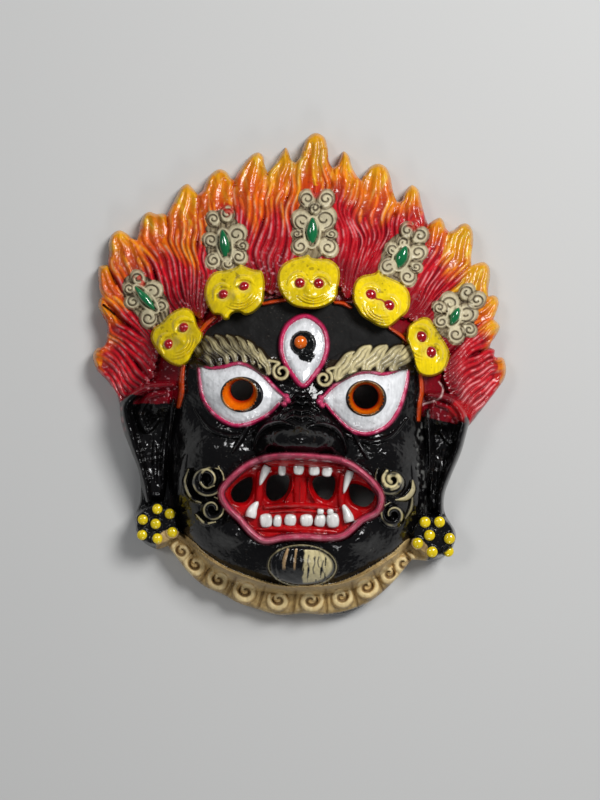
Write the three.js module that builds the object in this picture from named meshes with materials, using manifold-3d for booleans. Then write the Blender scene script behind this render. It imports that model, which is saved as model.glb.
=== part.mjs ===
// A painted metal wall mask of a wrathful protector: a crown of flames with five small skulls and leaf
// ornaments, three eyes, a fanged mouth, long ears with bead earrings and a scrolled beard band.
// It is one hollow casting, lying on its back rim: +X to the viewer's right, +Y to the crown, +Z out of the
// face. The face is a plain domed form with strokes and bosses raised on it. Everything leans in towards one
// point as it rises, so that the casting draws from its mould, and the hollow behind follows the plain form.
import * as THREE from "three";
import { mergeVertices } from "three/addons/utils/BufferGeometryUtils.js";
import Module from "manifold-3d";

const wasm = await Module();
wasm.setup();

// Driving sizes, in millimetres.
const MASK_WIDTH = 158; // across the side flames
const MASK_HEIGHT = 185; // from the beard band to the tallest flame
const MASK_DEPTH = 53; // from the back rim to the tip of the nose
const WALL = 3; // thickness of the casting behind its plain form
const EYE_HOLE_FRONT = 6.3; // radius of each pupil's opening
const EYE_HOLE_BACK = 4.4; // radius where it breaks through
const DRAFT_APEX = 480; // height of the point that the mould's draft leans to

// The carving is drawn in millimetres on a mask of this size, and follows the driving sizes.
const DRAWN_SIZE = [158.2, 185.1, 52.8];
const ACROSS = MASK_WIDTH / DRAWN_SIZE[0];
const UP = MASK_HEIGHT / DRAWN_SIZE[1];
const OUT = MASK_DEPTH / DRAWN_SIZE[2];
const DRAFT_CENTRE = [-0.7, -9.8];
const DRAFT_LEVEL = 8; // height at which the drawing has its own size
const HALF_SHEET = [84, 94]; // the sheet that the mask is drawn on, half across and half up
const CLEAR_TOP = 90; // above everything
const CLEAR_FLOOR = -4; // below the back rim

// Fineness of the facets.
const FRONT_CORNERS = 3200;
const HOLLOW_CORNERS = 260;
const FRONT_SAMPLE = 0.5;
const HOLLOW_SAMPLE = 2;
const RIDGE_STEP = 1.2; // between corners along a stroke, in its own widths
const RIDGE_GAP = 1.2; // the least gap between such corners
const MISS_CAP = 1.2; // a steep edge counts no more than this at any sample

// Levels of the plain form.
const EDGE_LEVEL = 6; // ears, earrings and beard band
const TIP_LEVEL = 3; // flame tips
const CROWN_LEVEL = 30; // foot of the flames, behind the skulls
const FACE_LEVEL = 37;

const clamp = (value, low, high) => Math.min(high, Math.max(low, value));
const mix = (a, b, share) => a + (b - a) * share;
const smooth = (value, from, to) => THREE.MathUtils.smoothstep(value, from, to);

// The higher of two heights, with the corner between them rounded off.
function softMax(a, b, round) {
  const near = Math.max(round - Math.abs(a - b), 0) / round;
  return Math.max(a, b) + (near * near * round) / 4;
}

// A soft bump of height 1 at its centre that ends at its half-widths.
function bump(u, v, centre, across, up) {
  const out = ((u - centre[0]) / across) ** 2 + ((v - centre[1]) / up) ** 2;
  return out < 1 ? (1 - out) ** 1.5 : 0;
}

// Plain form: the height of the casting's front before any carving.

function faceDome(u, v) {
  const out = Math.abs(u / 50) ** 2.6 + Math.abs((v + 20) / 63) ** 2.6;
  return EDGE_LEVEL + (FACE_LEVEL - EDGE_LEVEL) * Math.max(0, 1 - out) ** 0.42;
}

function crownSlope(u, v) {
  const out = clamp((Math.hypot(u, v + 2) - 38) / 46, 0, 1);
  const slope = TIP_LEVEL + (CROWN_LEVEL - TIP_LEVEL) * (1 - out) ** 1.15;
  return mix(EDGE_LEVEL, slope, smooth(v, -28, -8));
}

function plain(u, v) {
  const form = softMax(faceDome(u, v), crownSlope(u, v), 8);
  const nose = 8 * bump(u, v, [0, -26], 18, 13) ** 0.5 + 5 * bump(u, v, [0, -15], 12, 22) ** 0.6;
  const mouth = 5 * bump(u, v, [0, -47], 34, 20);
  const cheeks = 4 * bump(u, v, [-33, -36], 16, 20) + 4 * bump(u, v, [34, -36], 16, 20);
  const eyes = 3 * bump(u, v, [-23, -8], 20, 17) + 3 * bump(u, v, [24, -8], 20, 17);
  const chin = 3 * bump(u, v, [2, -71], 18, 14);
  return form + nose - mouth + cheeks + eyes + chin;
}

// A point of the drawing on the real mask.
function toMask(u, v, z) {
  const lean = (DRAFT_APEX - z) / (DRAFT_APEX - DRAFT_LEVEL);
  const x = DRAFT_CENTRE[0] + (u - DRAFT_CENTRE[0]) * lean;
  const y = DRAFT_CENTRE[1] + (v - DRAFT_CENTRE[1]) * lean;
  return [x * ACROSS, y * UP, z * OUT];
}

function curveThrough(points) {
  const vectors = points.map(([u, v, h = 0]) => new THREE.Vector3(u, v, h));
  return new THREE.CatmullRomCurve3(vectors, false, "centripetal");
}

// How full a stroke is along its length: full in the middle, a share of that at either end.
function swell(along, start, end) {
  const share = along < 0.5 ? start : end;
  return mix(share, 1, Math.sin(Math.min(along, 1 - along) * Math.PI));
}

// Relief: heights at scattered samples of the sheet. Strokes and bosses are carved into it one after the
// other, and the higher one stands where two meet.
class Relief {
  constructor(cell, form) {
    this.cell = cell;
    this.columns = Math.round((2 * HALF_SHEET[0]) / cell);
    this.rows = Math.round((2 * HALF_SHEET[1]) / cell);
    this.u = [];
    this.v = [];
    this.base = [];
    this.rise = new Float32Array(this.columns * this.rows);
    this.strands = []; // points of the flames that the facets must have as corners
    this.ridges = []; // points along the other strokes that they must have
    this.done = new Set(); // samples that call for no more corners
    for (let i = 0; i < this.rise.length; i++) {
      // Each sample is a little off its grid, so that no three lie in one line.
      this.u.push(((i % this.columns) + 0.5 + 0.3 * Math.sin(i * 12.9898)) * cell - HALF_SHEET[0]);
      this.v.push((Math.floor(i / this.columns) + 0.5 + 0.3 * Math.sin(i * 78.233)) * cell - HALF_SHEET[1]);
      this.base.push(form(this.u[i], this.v[i]));
    }
  }

  height(i) {
    return this.base[i] + this.rise[i];
  }

  // Visits the samples of a box of the sheet.
  visit([lowU, lowV, highU, highV], work) {
    const column = (u) => clamp(Math.floor((u + HALF_SHEET[0]) / this.cell), 0, this.columns - 1);
    const row = (v) => clamp(Math.floor((v + HALF_SHEET[1]) / this.cell), 0, this.rows - 1);
    for (let j = row(lowV - this.cell); j <= row(highV + this.cell); j++) {
      for (let i = column(lowU - this.cell); i <= column(highU + this.cell); i++) {
        work(j * this.columns + i);
      }
    }
  }

  nearest(u, v) {
    let best = -1;
    let gap = Infinity;
    this.visit([u, v, u, v], (i) => {
      const off = Math.hypot(this.u[i] - u, this.v[i] - v);
      if (off < gap) [best, gap] = [i, off];
    });
    return best;
  }

  // A rounded stroke along a curve. A point may give the height that the stroke stands on.
  stroke(points, width, height, { start = 0.3, end = 0.3, steps = 3 * points.length } = {}) {
    const curve = curveThrough(points);
    for (let step = 0; step < steps; step++) {
      const a = curve.getPoint(step / steps);
      const b = curve.getPoint((step + 1) / steps);
      const length = Math.max(Math.hypot(b.x - a.x, b.y - a.y), 1e-6);
      const half = width / 2;
      const low = [Math.min(a.x, b.x) - half, Math.min(a.y, b.y) - half];
      const box = [...low, Math.max(a.x, b.x) + half, Math.max(a.y, b.y) + half];
      this.visit(box, (i) => {
        const du = this.u[i] - a.x;
        const dv = this.v[i] - a.y;
        const share = clamp((du * (b.x - a.x) + dv * (b.y - a.y)) / length ** 2, 0, 1);
        const off = Math.hypot(du - share * (b.x - a.x), dv - share * (b.y - a.y));
        const full = swell((step + share) / steps, start, end);
        const out = off / (half * full);
        if (out < 1) {
          const rise = mix(a.z, b.z, share) + height * full * Math.sqrt(1 - out ** 2);
          this.rise[i] = Math.max(this.rise[i], rise);
        }
      });
    }
    this.markRidge(curve, width, (along) => swell(along, start, end));
  }

  // Corners along a stroke's crest and along its foot on either side.
  markRidge(curve, width, fullness) {
    const count = Math.max(2, Math.round(curve.getLength() / Math.max(width * RIDGE_STEP, RIDGE_GAP)));
    for (let i = 0; i <= count; i++) {
      const point = curve.getPointAt(i / count);
      const ahead = curve.getTangentAt(i / count).setZ(0).normalize();
      const half = (width / 2) * fullness(i / count) + this.cell / 4;
      const crest = this.rise[this.nearest(point.x, point.y)];
      [0, 1, -1].forEach((side) => {
        const [u, v] = [point.x - ahead.y * half * side, point.y + ahead.x * half * side];
        this.ridges.push({ at: [u, v], crest: side ? null : crest });
      });
    }
  }

  // A boss over an outline: it climbs to its height within its edge, then swells by its dome to the middle.
  boss(outline, height, { edge = 1, dome = 0 } = {}) {
    const inside = insideOf(outline);
    const reach = Math.max(...outline.map((_, i) => inside.distance(...middleOf(outline), i)));
    this.visit(boxOf(outline), (i) => {
      const depth = inside(this.u[i], this.v[i]);
      if (depth <= 0) return;
      const climb = Math.sin((Math.min(depth / edge, 1) * Math.PI) / 2);
      const swellUp = Math.sqrt(1 - (1 - Math.min(depth / reach, 1)) ** 2);
      this.rise[i] = Math.max(this.rise[i], height * climb + dome * swellUp);
    });
  }

  bead(centre, radius, height, foot = 0) {
    const [u, v] = centre;
    this.visit([u - radius, v - radius, u + radius, v + radius], (i) => {
      const out = Math.hypot(this.u[i] - u, this.v[i] - v) / radius;
      if (out < 1) this.rise[i] = Math.max(this.rise[i], foot + height * Math.sqrt(1 - out ** 2));
    });
  }
}

function boxOf(outline) {
  const us = outline.map(([u]) => u);
  const vs = outline.map(([, v]) => v);
  return [Math.min(...us), Math.min(...vs), Math.max(...us), Math.max(...vs)];
}

function middleOf(outline) {
  const [lowU, lowV, highU, highV] = boxOf(outline);
  return [(lowU + highU) / 2, (lowV + highV) / 2];
}

// How deep a point lies inside an outline, in millimetres from its nearest side, or 0 outside it.
function insideOf(outline) {
  const side = (i) => [outline[i], outline[(i + 1) % outline.length]];
  const distance = (u, v, i) => {
    const [[au, av], [bu, bv]] = side(i);
    const length = (bu - au) ** 2 + (bv - av) ** 2 || 1e-9;
    const share = clamp(((u - au) * (bu - au) + (v - av) * (bv - av)) / length, 0, 1);
    return Math.hypot(u - mix(au, bu, share), v - mix(av, bv, share));
  };
  const depth = (u, v) => {
    let crossings = 0;
    let near = Infinity;
    outline.forEach((_, i) => {
      const [[au, av], [bu, bv]] = side(i);
      if (av > v !== bv > v && u < au + ((v - av) * (bu - au)) / (bv - av)) crossings++;
      near = Math.min(near, distance(u, v, i));
    });
    return crossings % 2 ? near : 0;
  };
  return Object.assign(depth, { distance });
}

function oval(centre, across, up, count = 16, turn = 0) {
  return Array.from({ length: count }, (_, i) => {
    const angle = (i / count) * 2 * Math.PI;
    return placed([[across * Math.cos(angle), up * Math.sin(angle)]], centre, turn)[0];
  });
}

// The points of a scroll that winds in towards its eye.
function scroll(centre, radius, from, turns, points = 9) {
  return Array.from({ length: points }, (_, i) => {
    const share = i / (points - 1);
    const angle = from + share * turns * 2 * Math.PI;
    const reach = radius * mix(1, 0.3, share);
    return [centre[0] + reach * Math.cos(angle), centre[1] + reach * Math.sin(angle)];
  });
}

// Turns points of a small drawing about its own origin and moves them to their place on the mask.
function placed(points, centre, turn) {
  return points.map(([u, v, ...rest]) => [
    centre[0] + u * Math.cos(turn) - v * Math.sin(turn),
    centre[1] + u * Math.sin(turn) + v * Math.cos(turn),
    ...rest,
  ]);
}

// Facets: a triangulation that starts from the corners asked for, and then takes one more sample as a corner
// in the facet that misses the most relief. Each new corner is joined to the corners around it, and edges are
// turned until no facet's circle holds another corner.
class Facets {
  constructor(relief, wanted, counts) {
    this.relief = relief;
    this.counts = counts;
    const [u, v] = HALF_SHEET;
    this.points = [[-u, -v, 1], [u, -v, 1], [u, v, 1], [-u, v, 1]];
    this.corners = [0, 1, 2, 0, 2, 3];
    this.twins = [-1, -1, 3, 2, -1, -1];
    this.worst = [];
    this.survey(0);
    this.survey(1);
    relief.strands.forEach((point) => this.insert(point));
    while (this.points.length < wanted) {
      let facet = 0;
      for (let i = 1; i < this.worst.length; i++) {
        if (this.worst[i].total > this.worst[facet].total) facet = i;
      }
      if (this.worst[facet].sample < 0) break;
      this.split(facet, this.worst[facet].sample);
    }
  }

  // Makes the sample nearest to a point a corner.
  insert([u, v]) {
    const sample = this.relief.nearest(u, v);
    const at = [this.relief.u[sample], this.relief.v[sample]];
    const turns = (i, j) => {
      const [a, b] = [this.points[this.corners[i]], this.points[this.corners[j]]];
      return (b[0] - a[0]) * (at[1] - a[1]) - (b[1] - a[1]) * (at[0] - a[0]) > 1e-6;
    };
    for (let i = 0; i < this.corners.length; i += 3) {
      if (turns(i, i + 1) && turns(i + 1, i + 2) && turns(i + 2, i)) {
        this.split(i / 3, sample);
        return;
      }
    }
  }

  // Finds the sample of a facet that lies furthest above or below it, and how much the facet misses in all.
  survey(facet) {
    const [a, b, c] = [0, 1, 2].map((k) => this.points[this.corners[3 * facet + k]]);
    const area = (b[0] - a[0]) * (c[1] - a[1]) - (b[1] - a[1]) * (c[0] - a[0]);
    const worst = { sample: -1, miss: 0, total: 0 };
    this.relief.visit(boxOf([a, b, c]), (i) => {
      const u = this.relief.u[i];
      const v = this.relief.v[i];
      const shareC = ((b[0] - a[0]) * (v - a[1]) - (b[1] - a[1]) * (u - a[0])) / area;
      const shareB = ((u - a[0]) * (c[1] - a[1]) - (v - a[1]) * (c[0] - a[0])) / area;
      if (shareB < 1e-4 || shareC < 1e-4 || shareB + shareC > 1 - 1e-4 || !this.counts[i]) return;
      const level = a[2] + shareB * (b[2] - a[2]) + shareC * (c[2] - a[2]);
      const miss = Math.abs(this.relief.height(i) - level);
      worst.total += Math.min(miss, MISS_CAP) ** 1.5;
      if (miss > worst.miss) Object.assign(worst, { sample: i, miss });
    });
    this.worst[facet] = worst;
  }

  link(edge, twin) {
    this.twins[edge] = twin;
    if (twin >= 0) this.twins[twin] = edge;
  }

  split(facet, sample) {
    const point = this.points.length;
    this.points.push([this.relief.u[sample], this.relief.v[sample], this.relief.height(sample)]);
    const [a, b, c] = this.corners.slice(3 * facet, 3 * facet + 3);
    const [, outer1, outer2] = this.twins.slice(3 * facet, 3 * facet + 3);
    const first = 3 * facet;
    const second = this.corners.length;
    const third = second + 3;
    this.corners.splice(first, 3, a, b, point);
    this.corners.push(b, c, point, c, a, point);
    this.link(second, outer1);
    this.link(third, outer2);
    this.link(first + 1, second + 2);
    this.link(second + 1, third + 2);
    this.link(third + 1, first + 2);
    const changed = new Set([first, second, third]);
    [first, second, third].forEach((edge) => this.settle(edge, changed));
    changed.forEach((edge) => this.survey(edge / 3));
  }

  // Turns the edge opposite a new corner if the circle of its facet holds the corner beyond it.
  settle(edge, changed) {
    const twin = this.twins[edge];
    if (twin < 0) return;
    const first = edge - (edge % 3);
    const second = twin - (twin % 3);
    const before = first + ((edge + 2) % 3);
    const beyond = second + ((twin + 2) % 3);
    const next = second + ((twin + 1) % 3);
    const around = [before, edge, first + ((edge + 1) % 3), beyond];
    const [p, q, r, s] = around.map((corner) => this.points[this.corners[corner]]);
    if (!circleHolds(p, q, r, s)) return;
    this.corners[edge] = this.corners[beyond];
    this.corners[twin] = this.corners[before];
    this.link(edge, this.twins[beyond]);
    this.link(twin, this.twins[before]);
    this.link(before, beyond);
    changed.add(first).add(second);
    this.settle(edge, changed);
    this.settle(next, changed);
  }

  // The solid from the facets down to a level floor.
  solid(floor) {
    const [u, v] = HALF_SHEET;
    const under = [[-u, -v, floor], [u, -v, floor], [u, v, floor], [-u, v, floor]];
    const corners = new Float32Array([...this.points, ...under].flat());
    const lower = this.points.length;
    const faces = [...this.corners, lower, lower + 2, lower + 1, lower, lower + 3, lower + 2];
    for (let side = 0; side < 4; side++) {
      const next = (side + 1) % 4;
      faces.push(side, lower + side, lower + next, side, lower + next, next);
    }
    const geometry = new THREE.BufferGeometry();
    geometry.setAttribute("position", new THREE.BufferAttribute(corners, 3));
    geometry.setIndex(faces);
    return solidOf(geometry);
  }
}

function circleHolds(a, b, c, d) {
  const [au, av, bu, bv] = [a[0] - d[0], a[1] - d[1], b[0] - d[0], b[1] - d[1]];
  const [cu, cv] = [c[0] - d[0], c[1] - d[1]];
  const a2 = au * au + av * av;
  const b2 = bu * bu + bv * bv;
  const c2 = cu * cu + cv * cv;
  return au * (bv * c2 - b2 * cv) - av * (bu * c2 - b2 * cu) + a2 * (bu * cv - bv * cu) > 1e-9;
}

// The solid of a closed geometry, moved from the drawing to the mask.
function solidOf(geometry) {
  geometry.deleteAttribute("normal");
  geometry.deleteAttribute("uv");
  const merged = mergeVertices(geometry, 1e-4);
  const positions = merged.attributes.position;
  for (let i = 0; i < positions.count; i++) {
    positions.setXYZ(i, ...toMask(positions.getX(i), positions.getY(i), positions.getZ(i)));
  }
  return new wasm.Manifold(
    new wasm.Mesh({
      numProp: 3,
      vertProperties: positions.array,
      triVerts: new Uint32Array(merged.index.array),
    }),
  );
}

const join = (solids) => solids.reduce((whole, solid) => whole.add(solid));

function prism(outline, from, to) {
  const shape = new THREE.Shape(outline.map(([u, v]) => new THREE.Vector2(u, v)));
  const geometry = new THREE.ExtrudeGeometry(shape, { depth: to - from, bevelEnabled: false, steps: 1 });
  geometry.translate(0, 0, from);
  return solidOf(geometry);
}

// Crown: nineteen tongues of flame, each with wavy strands that run together into its tip. A row is the free
// edge of a tongue from one valley up to its tip and down to the next valley, from the left ear round to the
// right one, and the line that the strands beside that valley follow up to it.
const FLAMES = [
  { rising: [[-69.6, -10.5], [-73, -6], [-77.8, -1], [-79.2, 4.2]], falling: [[-78, 6.5], [-75.4, 7.4]],
    valley: [-74.2, 11], flow: [[-58, -5], [-63, 2], [-69, 8]] },
  { rising: [[-74.4, 15.6], [-76.4, 19.2], [-78, 22.6], [-77.6, 25.2]], falling: [],
    valley: [-76.6, 26], flow: [[-56, 7], [-62, 13], [-70, 18]] },
  { rising: [[-77.7, 28.5], [-78.4, 33], [-78.2, 37.4]], falling: [[-76.6, 37.9]],
    valley: [-75.1, 38.2], flow: [[-57, 13], [-66, 24], [-72, 32]] },
  { rising: [[-74.8, 42.5], [-75, 46.5], [-73.6, 50], [-71.2, 51.3]], falling: [[-68.4, 50.2], [-66.2, 48.4]],
    valley: [-64.4, 47.9], flow: [[-50, 20], [-57, 35], [-61.5, 43]] },
  { rising: [[-63.8, 51], [-63.3, 55], [-62, 57.8], [-60, 58.7]], falling: [[-57.4, 58], [-55.2, 58.3]],
    valley: [-53.6, 57.8], flow: [[-44, 22], [-48, 35], [-51.5, 47]] },
  { rising: [[-51.6, 62], [-50, 65.6], [-48.5, 68.5], [-46.2, 69.8]], falling: [[-44.5, 68.4]],
    valley: [-42.2, 66], flow: [[-39.5, 20], [-40.5, 38], [-42, 54]] },
  { rising: [[-40.4, 67.6], [-39.6, 70.4], [-37.8, 73.6], [-34.6, 75.8]], falling: [[-31.9, 75], [-30.4, 73]],
    valley: [-28.9, 71.9], flow: [[-33, 34], [-29, 52], [-28.6, 63]] },
  { rising: [[-27, 75.6], [-24.6, 79.2], [-22.2, 81.9], [-19.9, 82.7]],
    falling: [[-18.2, 81.3], [-17.5, 78.2]],
    valley: [-16.4, 75.3], flow: [[-18, 32], [-20, 48], [-16.4, 62]] },
  { rising: [[-14.2, 77.6], [-12.4, 81], [-9.9, 85]], falling: [[-8.6, 83], [-7.6, 80.4]],
    valley: [-6, 79.4], flow: [[-12, 30], [-8.6, 48], [-8.6, 64]] },
  { rising: [[-4.2, 81.6], [-3.4, 85.2], [-2, 88.8], [1, 90.9]],
    falling: [[4.2, 89.7], [5.8, 86], [6.6, 80.6]],
    valley: [8, 77.9], flow: [[11, 38], [12.4, 52], [9.6, 63]] },
  { rising: [[9.7, 79], [10.9, 81.8], [11.9, 84.4]], falling: [[14, 82.8], [15.2, 79.2], [17.2, 75.6]],
    valley: [19, 73.8], flow: [[16, 30], [18.8, 50], [16.6, 61]] },
  { rising: [[20.3, 76.2], [22.2, 79], [25, 80.3]], falling: [[28, 79.2], [29.8, 76], [31.2, 70]],
    valley: [32.8, 66.2], flow: [[22, 34], [27, 46], [31, 57]] },
  { rising: [[34.6, 66.6], [35.8, 70], [38, 72.7]], falling: [[40.4, 71.4], [42, 66.4], [43.8, 60.6]],
    valley: [44.9, 58.1], flow: [[34, 33], [42, 43], [44.6, 51]] },
  { rising: [[47, 59.9], [49.3, 60.9]], falling: [[50.8, 59.2], [51.8, 56.8]],
    valley: [52.9, 55.7], flow: [[38, 24], [45.5, 37], [50.5, 47]] },
  { rising: [[55, 56.6], [57, 58.6], [59.4, 59.1]], falling: [[61.4, 57], [62.1, 53], [61.6, 46.6]],
    valley: [61.8, 43.3], flow: [[42, 20], [51, 31], [58.5, 37]] },
  { rising: [[63.6, 44.2], [66.6, 44.8]], falling: [[68.4, 43.2], [69, 39.6], [68.5, 35]],
    valley: [68.6, 32], flow: [[50, 18], [61, 28], [66, 30.6]] },
  { rising: [[70.2, 32.5], [71.8, 32]], falling: [[72.7, 29.6], [71.8, 26]],
    valley: [70.9, 23.5], flow: [[54.5, 9], [60, 14], [66, 20]] },
  { rising: [[72.2, 22.5], [73.4, 20.7]], falling: [[72.2, 17.4], [70.4, 14.6]],
    valley: [69.9, 12.7], flow: [[54, 1], [60, 6.5], [66, 10.6]] },
  { rising: [[71.8, 12], [71.9, 9.4], [75, 9.1], [76.4, 5.4]],
    falling: [[76, 1.6], [73.4, -2.8], [68.8, -9.4], [65.2, -14.4]],
    valley: [63, -17.3], flow: [[61, -15.6]] },
];
const FIRST_VALLEY = [-68.5, -14];
const FIRST_FLOW = [[-66, -13]];
const STRAND_PITCH = 4.4;
const STRAND_HEIGHT = 2;
const STRAND_END = 0.94; // of the way from a tongue's foot to its tip
const STRAND_STEP = 4; // between corners along a strand
const STRAND_MARGIN = 1.5; // around what stands on the flames
const CORNER_GAP = 1.5; // corners that would come nearer than this are left out
const FLAME_HEIGHT = 1.5;
const FLAME_FULLNESS = 1.3; // of each tongue's rounded top, above its edge

// The two sides of a tongue, from its foot up to its tip.
function flameSides(i) {
  const before = i ? FLAMES[i - 1] : { valley: FIRST_VALLEY, flow: FIRST_FLOW };
  const { rising, falling, valley, flow } = FLAMES[i];
  const tip = rising[rising.length - 1];
  const left = [...before.flow, before.valley, ...rising];
  const right = [...flow, valley, ...[...falling].reverse(), tip];
  return [left, right];
}

function carveFlames(relief) {
  const top = FLAME_HEIGHT + FLAME_FULLNESS / 2;
  FLAMES.forEach((_, i) => {
    const [left, right] = flameSides(i);
    const tongue = [...left, ...right.slice(0, -1).reverse()];
    relief.boss(tongue, FLAME_HEIGHT, { edge: 1.3, dome: FLAME_FULLNESS });
    const [leftCurve, rightCurve] = [curveThrough(left), curveThrough(right)];
    const onFlame = (at, share) => leftCurve.getPointAt(at).lerp(rightCurve.getPointAt(at), share);
    const across = onFlame(0.5, 0).distanceTo(onFlame(0.5, 1));
    const strands = Math.max(2, Math.round(across / STRAND_PITCH));
    const steps = Math.round(leftCurve.getLength() / STRAND_STEP);
    for (let strand = 0; strand < strands; strand++) {
      const middle = (strand + 0.5) / strands;
      const points = Array.from({ length: steps + 1 }, (_, step) => {
        const { x, y } = onFlame((step / steps) * STRAND_END, middle);
        return [x, y, top];
      });
      relief.stroke(points, across / strands, STRAND_HEIGHT, { start: 0.8, end: 0.35, steps: 2 * steps });
    }
    // Corners along each strand's crest and along the groove beside it.
    for (let line = 0; line <= 2 * strands; line++) {
      const share = clamp(line / (2 * strands), 0.05, 0.95);
      for (let step = 0; step <= steps; step++) {
        const { x, y } = onFlame((step / steps) * STRAND_END, share);
        relief.strands.push([x, y]);
      }
    }
  });
  relief.ridges = []; // the strands have their own corners
}

// Outline of the casting: flames, ears, earrings and beard band.
const RIGHT_SIDE = [[60.8, -27], [57.4, -36], [55.1, -43.6], [55.5, -50], [60, -58], [58, -64.5], [52, -68]];
const LEFT_SIDE = [
  [-52.5, -68], [-59, -64], [-61, -57], [-59.2, -49.5], [-60, -40], [-63.7, -31], [-67.3, -22],
];
const BAND = [
  [43.9, -68.2], [41.4, -71.4], [37, -77], [30, -83.6], [22, -88.6], [14.3, -90.4], [4.3, -90],
  [-5, -91.1], [-12.9, -89.3], [-21.4, -86.8], [-27, -83.9], [-33.6, -81.4], [-40, -76.4],
  [-44.3, -71.4], [-48.2, -66.8],
];
const RIM_WIDTH = 3.2; // of the flat rim around the hollow

function maskOutline() {
  const flames = FLAMES.flatMap(({ rising, falling, valley }) => [...rising, ...falling, valley]);
  return [FIRST_VALLEY, ...flames, ...RIGHT_SIDE, ...BAND, ...LEFT_SIDE].reverse();
}

// The hollow stays inside the valleys by the width of the rim.
function hollowOutline() {
  const valleys = [FIRST_VALLEY, ...FLAMES.map(({ valley }) => valley)];
  return [...valleys, ...RIGHT_SIDE, ...BAND, ...LEFT_SIDE].reverse().map(([u, v]) => {
    const reach = Math.hypot(u, v + 10);
    const share = (reach - RIM_WIDTH / ACROSS) / reach;
    return [u * share, (v + 10) * share - 10];
  });
}

// Skulls: flat domes with steep edges. A row is an outline and the two eyes, and the face follows the eyes.
const SKULLS = [
  {
    outline: [
      [-57.8, 11.5], [-56.9, 14.8], [-54, 17.2], [-51.5, 20], [-46, 23.1], [-43.2, 22.4], [-41.4, 20],
      [-38.4, 14], [-38.5, 11], [-41.8, 5.5], [-43, 3], [-46, 1], [-49.5, 1.6], [-53, 4], [-55.8, 7.5],
    ],
    eyes: [[-50.8, 9.2], [-45.4, 15.6]],
  },
  {
    outline: [
      [-38.3, 30], [-37.8, 26.5], [-34.6, 21.2], [-30.5, 19.3], [-28.8, 19.4], [-27.6, 21.6],
      [-25, 22.3], [-22.8, 21.3], [-20, 22], [-17.5, 24.2], [-15.7, 30], [-16, 35.2], [-17.2, 38.2],
      [-20, 38.5], [-25.3, 40.2], [-31, 37.8], [-35, 36.8], [-37.2, 34],
    ],
    eyes: [[-31, 28.6], [-23.3, 31.9]],
  },
  {
    outline: [
      [-10.9, 35], [-10.6, 38.5], [-9, 41], [-5.5, 43.2], [0.2, 45], [1.5, 43.8], [8.4, 43.4],
      [11.6, 41], [12.4, 38.5], [12, 33], [11.4, 29], [9, 26.6], [5, 24.9], [0, 24.6], [-4.4, 25.4],
      [-8, 28], [-10.2, 31.5],
    ],
    eyes: [[-2.5, 34.1], [4.6, 34.2]],
  },
  {
    outline: [
      [17.5, 31], [18, 34.5], [19.5, 37], [22, 38.2], [27, 40.3], [28.2, 38.8], [32, 37.2], [36, 35.4],
      [38.6, 32.5], [39.3, 28.5], [38.4, 25], [36, 22.6], [31, 18.6], [28, 19], [21, 23], [17.8, 28],
    ],
    eyes: [[24.3, 30.7], [31.3, 27]],
  },
  {
    outline: [
      [38.5, 17], [38.9, 19.5], [41.5, 21.8], [44.6, 23.2], [46.8, 22.8], [50.5, 17.5], [53, 14],
      [54.8, 10.5], [54.4, 6.5], [52.6, 3], [49.5, 1.2], [46.5, 0.9], [43.6, 2], [42, 4.8],
      [39.3, 12.5],
    ],
    eyes: [[43.9, 15.7], [47.7, 10.1]],
  },
];
const SKULL_HEIGHT = 7;

function carveSkull(relief, { outline, eyes: [left, right] }) {
  const middle = [(left[0] + right[0]) / 2, (left[1] + right[1]) / 2];
  const turn = Math.atan2(right[1] - left[1], right[0] - left[0]);
  const at = (points) => placed(points, middle, turn);
  const top = SKULL_HEIGHT;
  relief.boss(outline, top - 1, { edge: 1.2, dome: 1.2 });
  const brow = [[-8, 1, top - 1], [-4, 3.8, top], [0, 1.8, top], [4, 3.8, top], [8, 1, top - 1]];
  relief.stroke(at(brow), 2.2, 1.2);
  [left, right].forEach((eye) => relief.bead(eye, 2.2, 1.8, top - 0.4));
  relief.bead(at([[0, -2.6]])[0], 1.6, 1.2, top);
  relief.stroke(at([[-4.4, -4.6, top - 1], [0, -6, top - 0.4], [4.4, -4.6, top - 1]]), 2, 1.4);
}

// Leaf ornaments behind the skulls: scrolls on a low plate round a long stone. A scroll is its eye, radius
// and the way it winds.
const ORNAMENTS = [
  {
    stone: [-60.2, 25.8], half: [1.7, 6.2], turn: 0.75,
    curls: [
      [-58, 28.6, 3.7, 1], [-65, 24.6, 2.8, -1], [-59, 18.6, 3.2, 1], [-54.6, 23.6, 2.6, -1],
      [-63.6, 33.4, 2.8, 1], [-66.6, 29.5, 2.2, 1],
    ],
  },
  {
    stone: [-31.4, 47.2], half: [2.1, 5.8], turn: 0.18,
    curls: [
      [-27.2, 51.4, 3.6, -1], [-26, 43.2, 3, 1], [-36.6, 49, 2.8, 1], [-35.4, 41.4, 2.8, -1],
      [-36, 57, 2.6, 1], [-31, 59, 2.8, -1],
    ],
  },
  {
    stone: [1.3, 53.4], half: [2.3, 5.4], turn: 0,
    curls: [
      [5.6, 58.6, 4.2, -1], [-2.5, 57.6, 3.7, 1], [6, 66.2, 3.1, -1], [-1, 66, 3, 1], [7.6, 48, 3.4, 1],
      [-3, 48, 3, -1],
    ],
  },
  {
    stone: [35.3, 45.2], half: [2.4, 4.6], turn: -0.35,
    curls: [
      [41.4, 47.4, 3.2, -1], [42, 53.8, 3, 1], [38, 38.2, 3.2, 1], [32, 48.2, 2.6, 1],
      [30.6, 41.6, 3.2, -1], [37.2, 55.6, 2.8, -1],
    ],
  },
  {
    stone: [56.1, 23.8], half: [1.9, 3.7], turn: -0.42,
    curls: [
      [60.6, 25.2, 3.7, -1], [54.4, 28.6, 3.8, 1], [60.6, 33.2, 2.9, 1], [64.4, 30.4, 3, -1],
      [57, 17.2, 3.2, 1], [51.4, 21.8, 2.6, -1],
    ],
  },
];
const LEAF_HEIGHT = 3.4;

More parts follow.
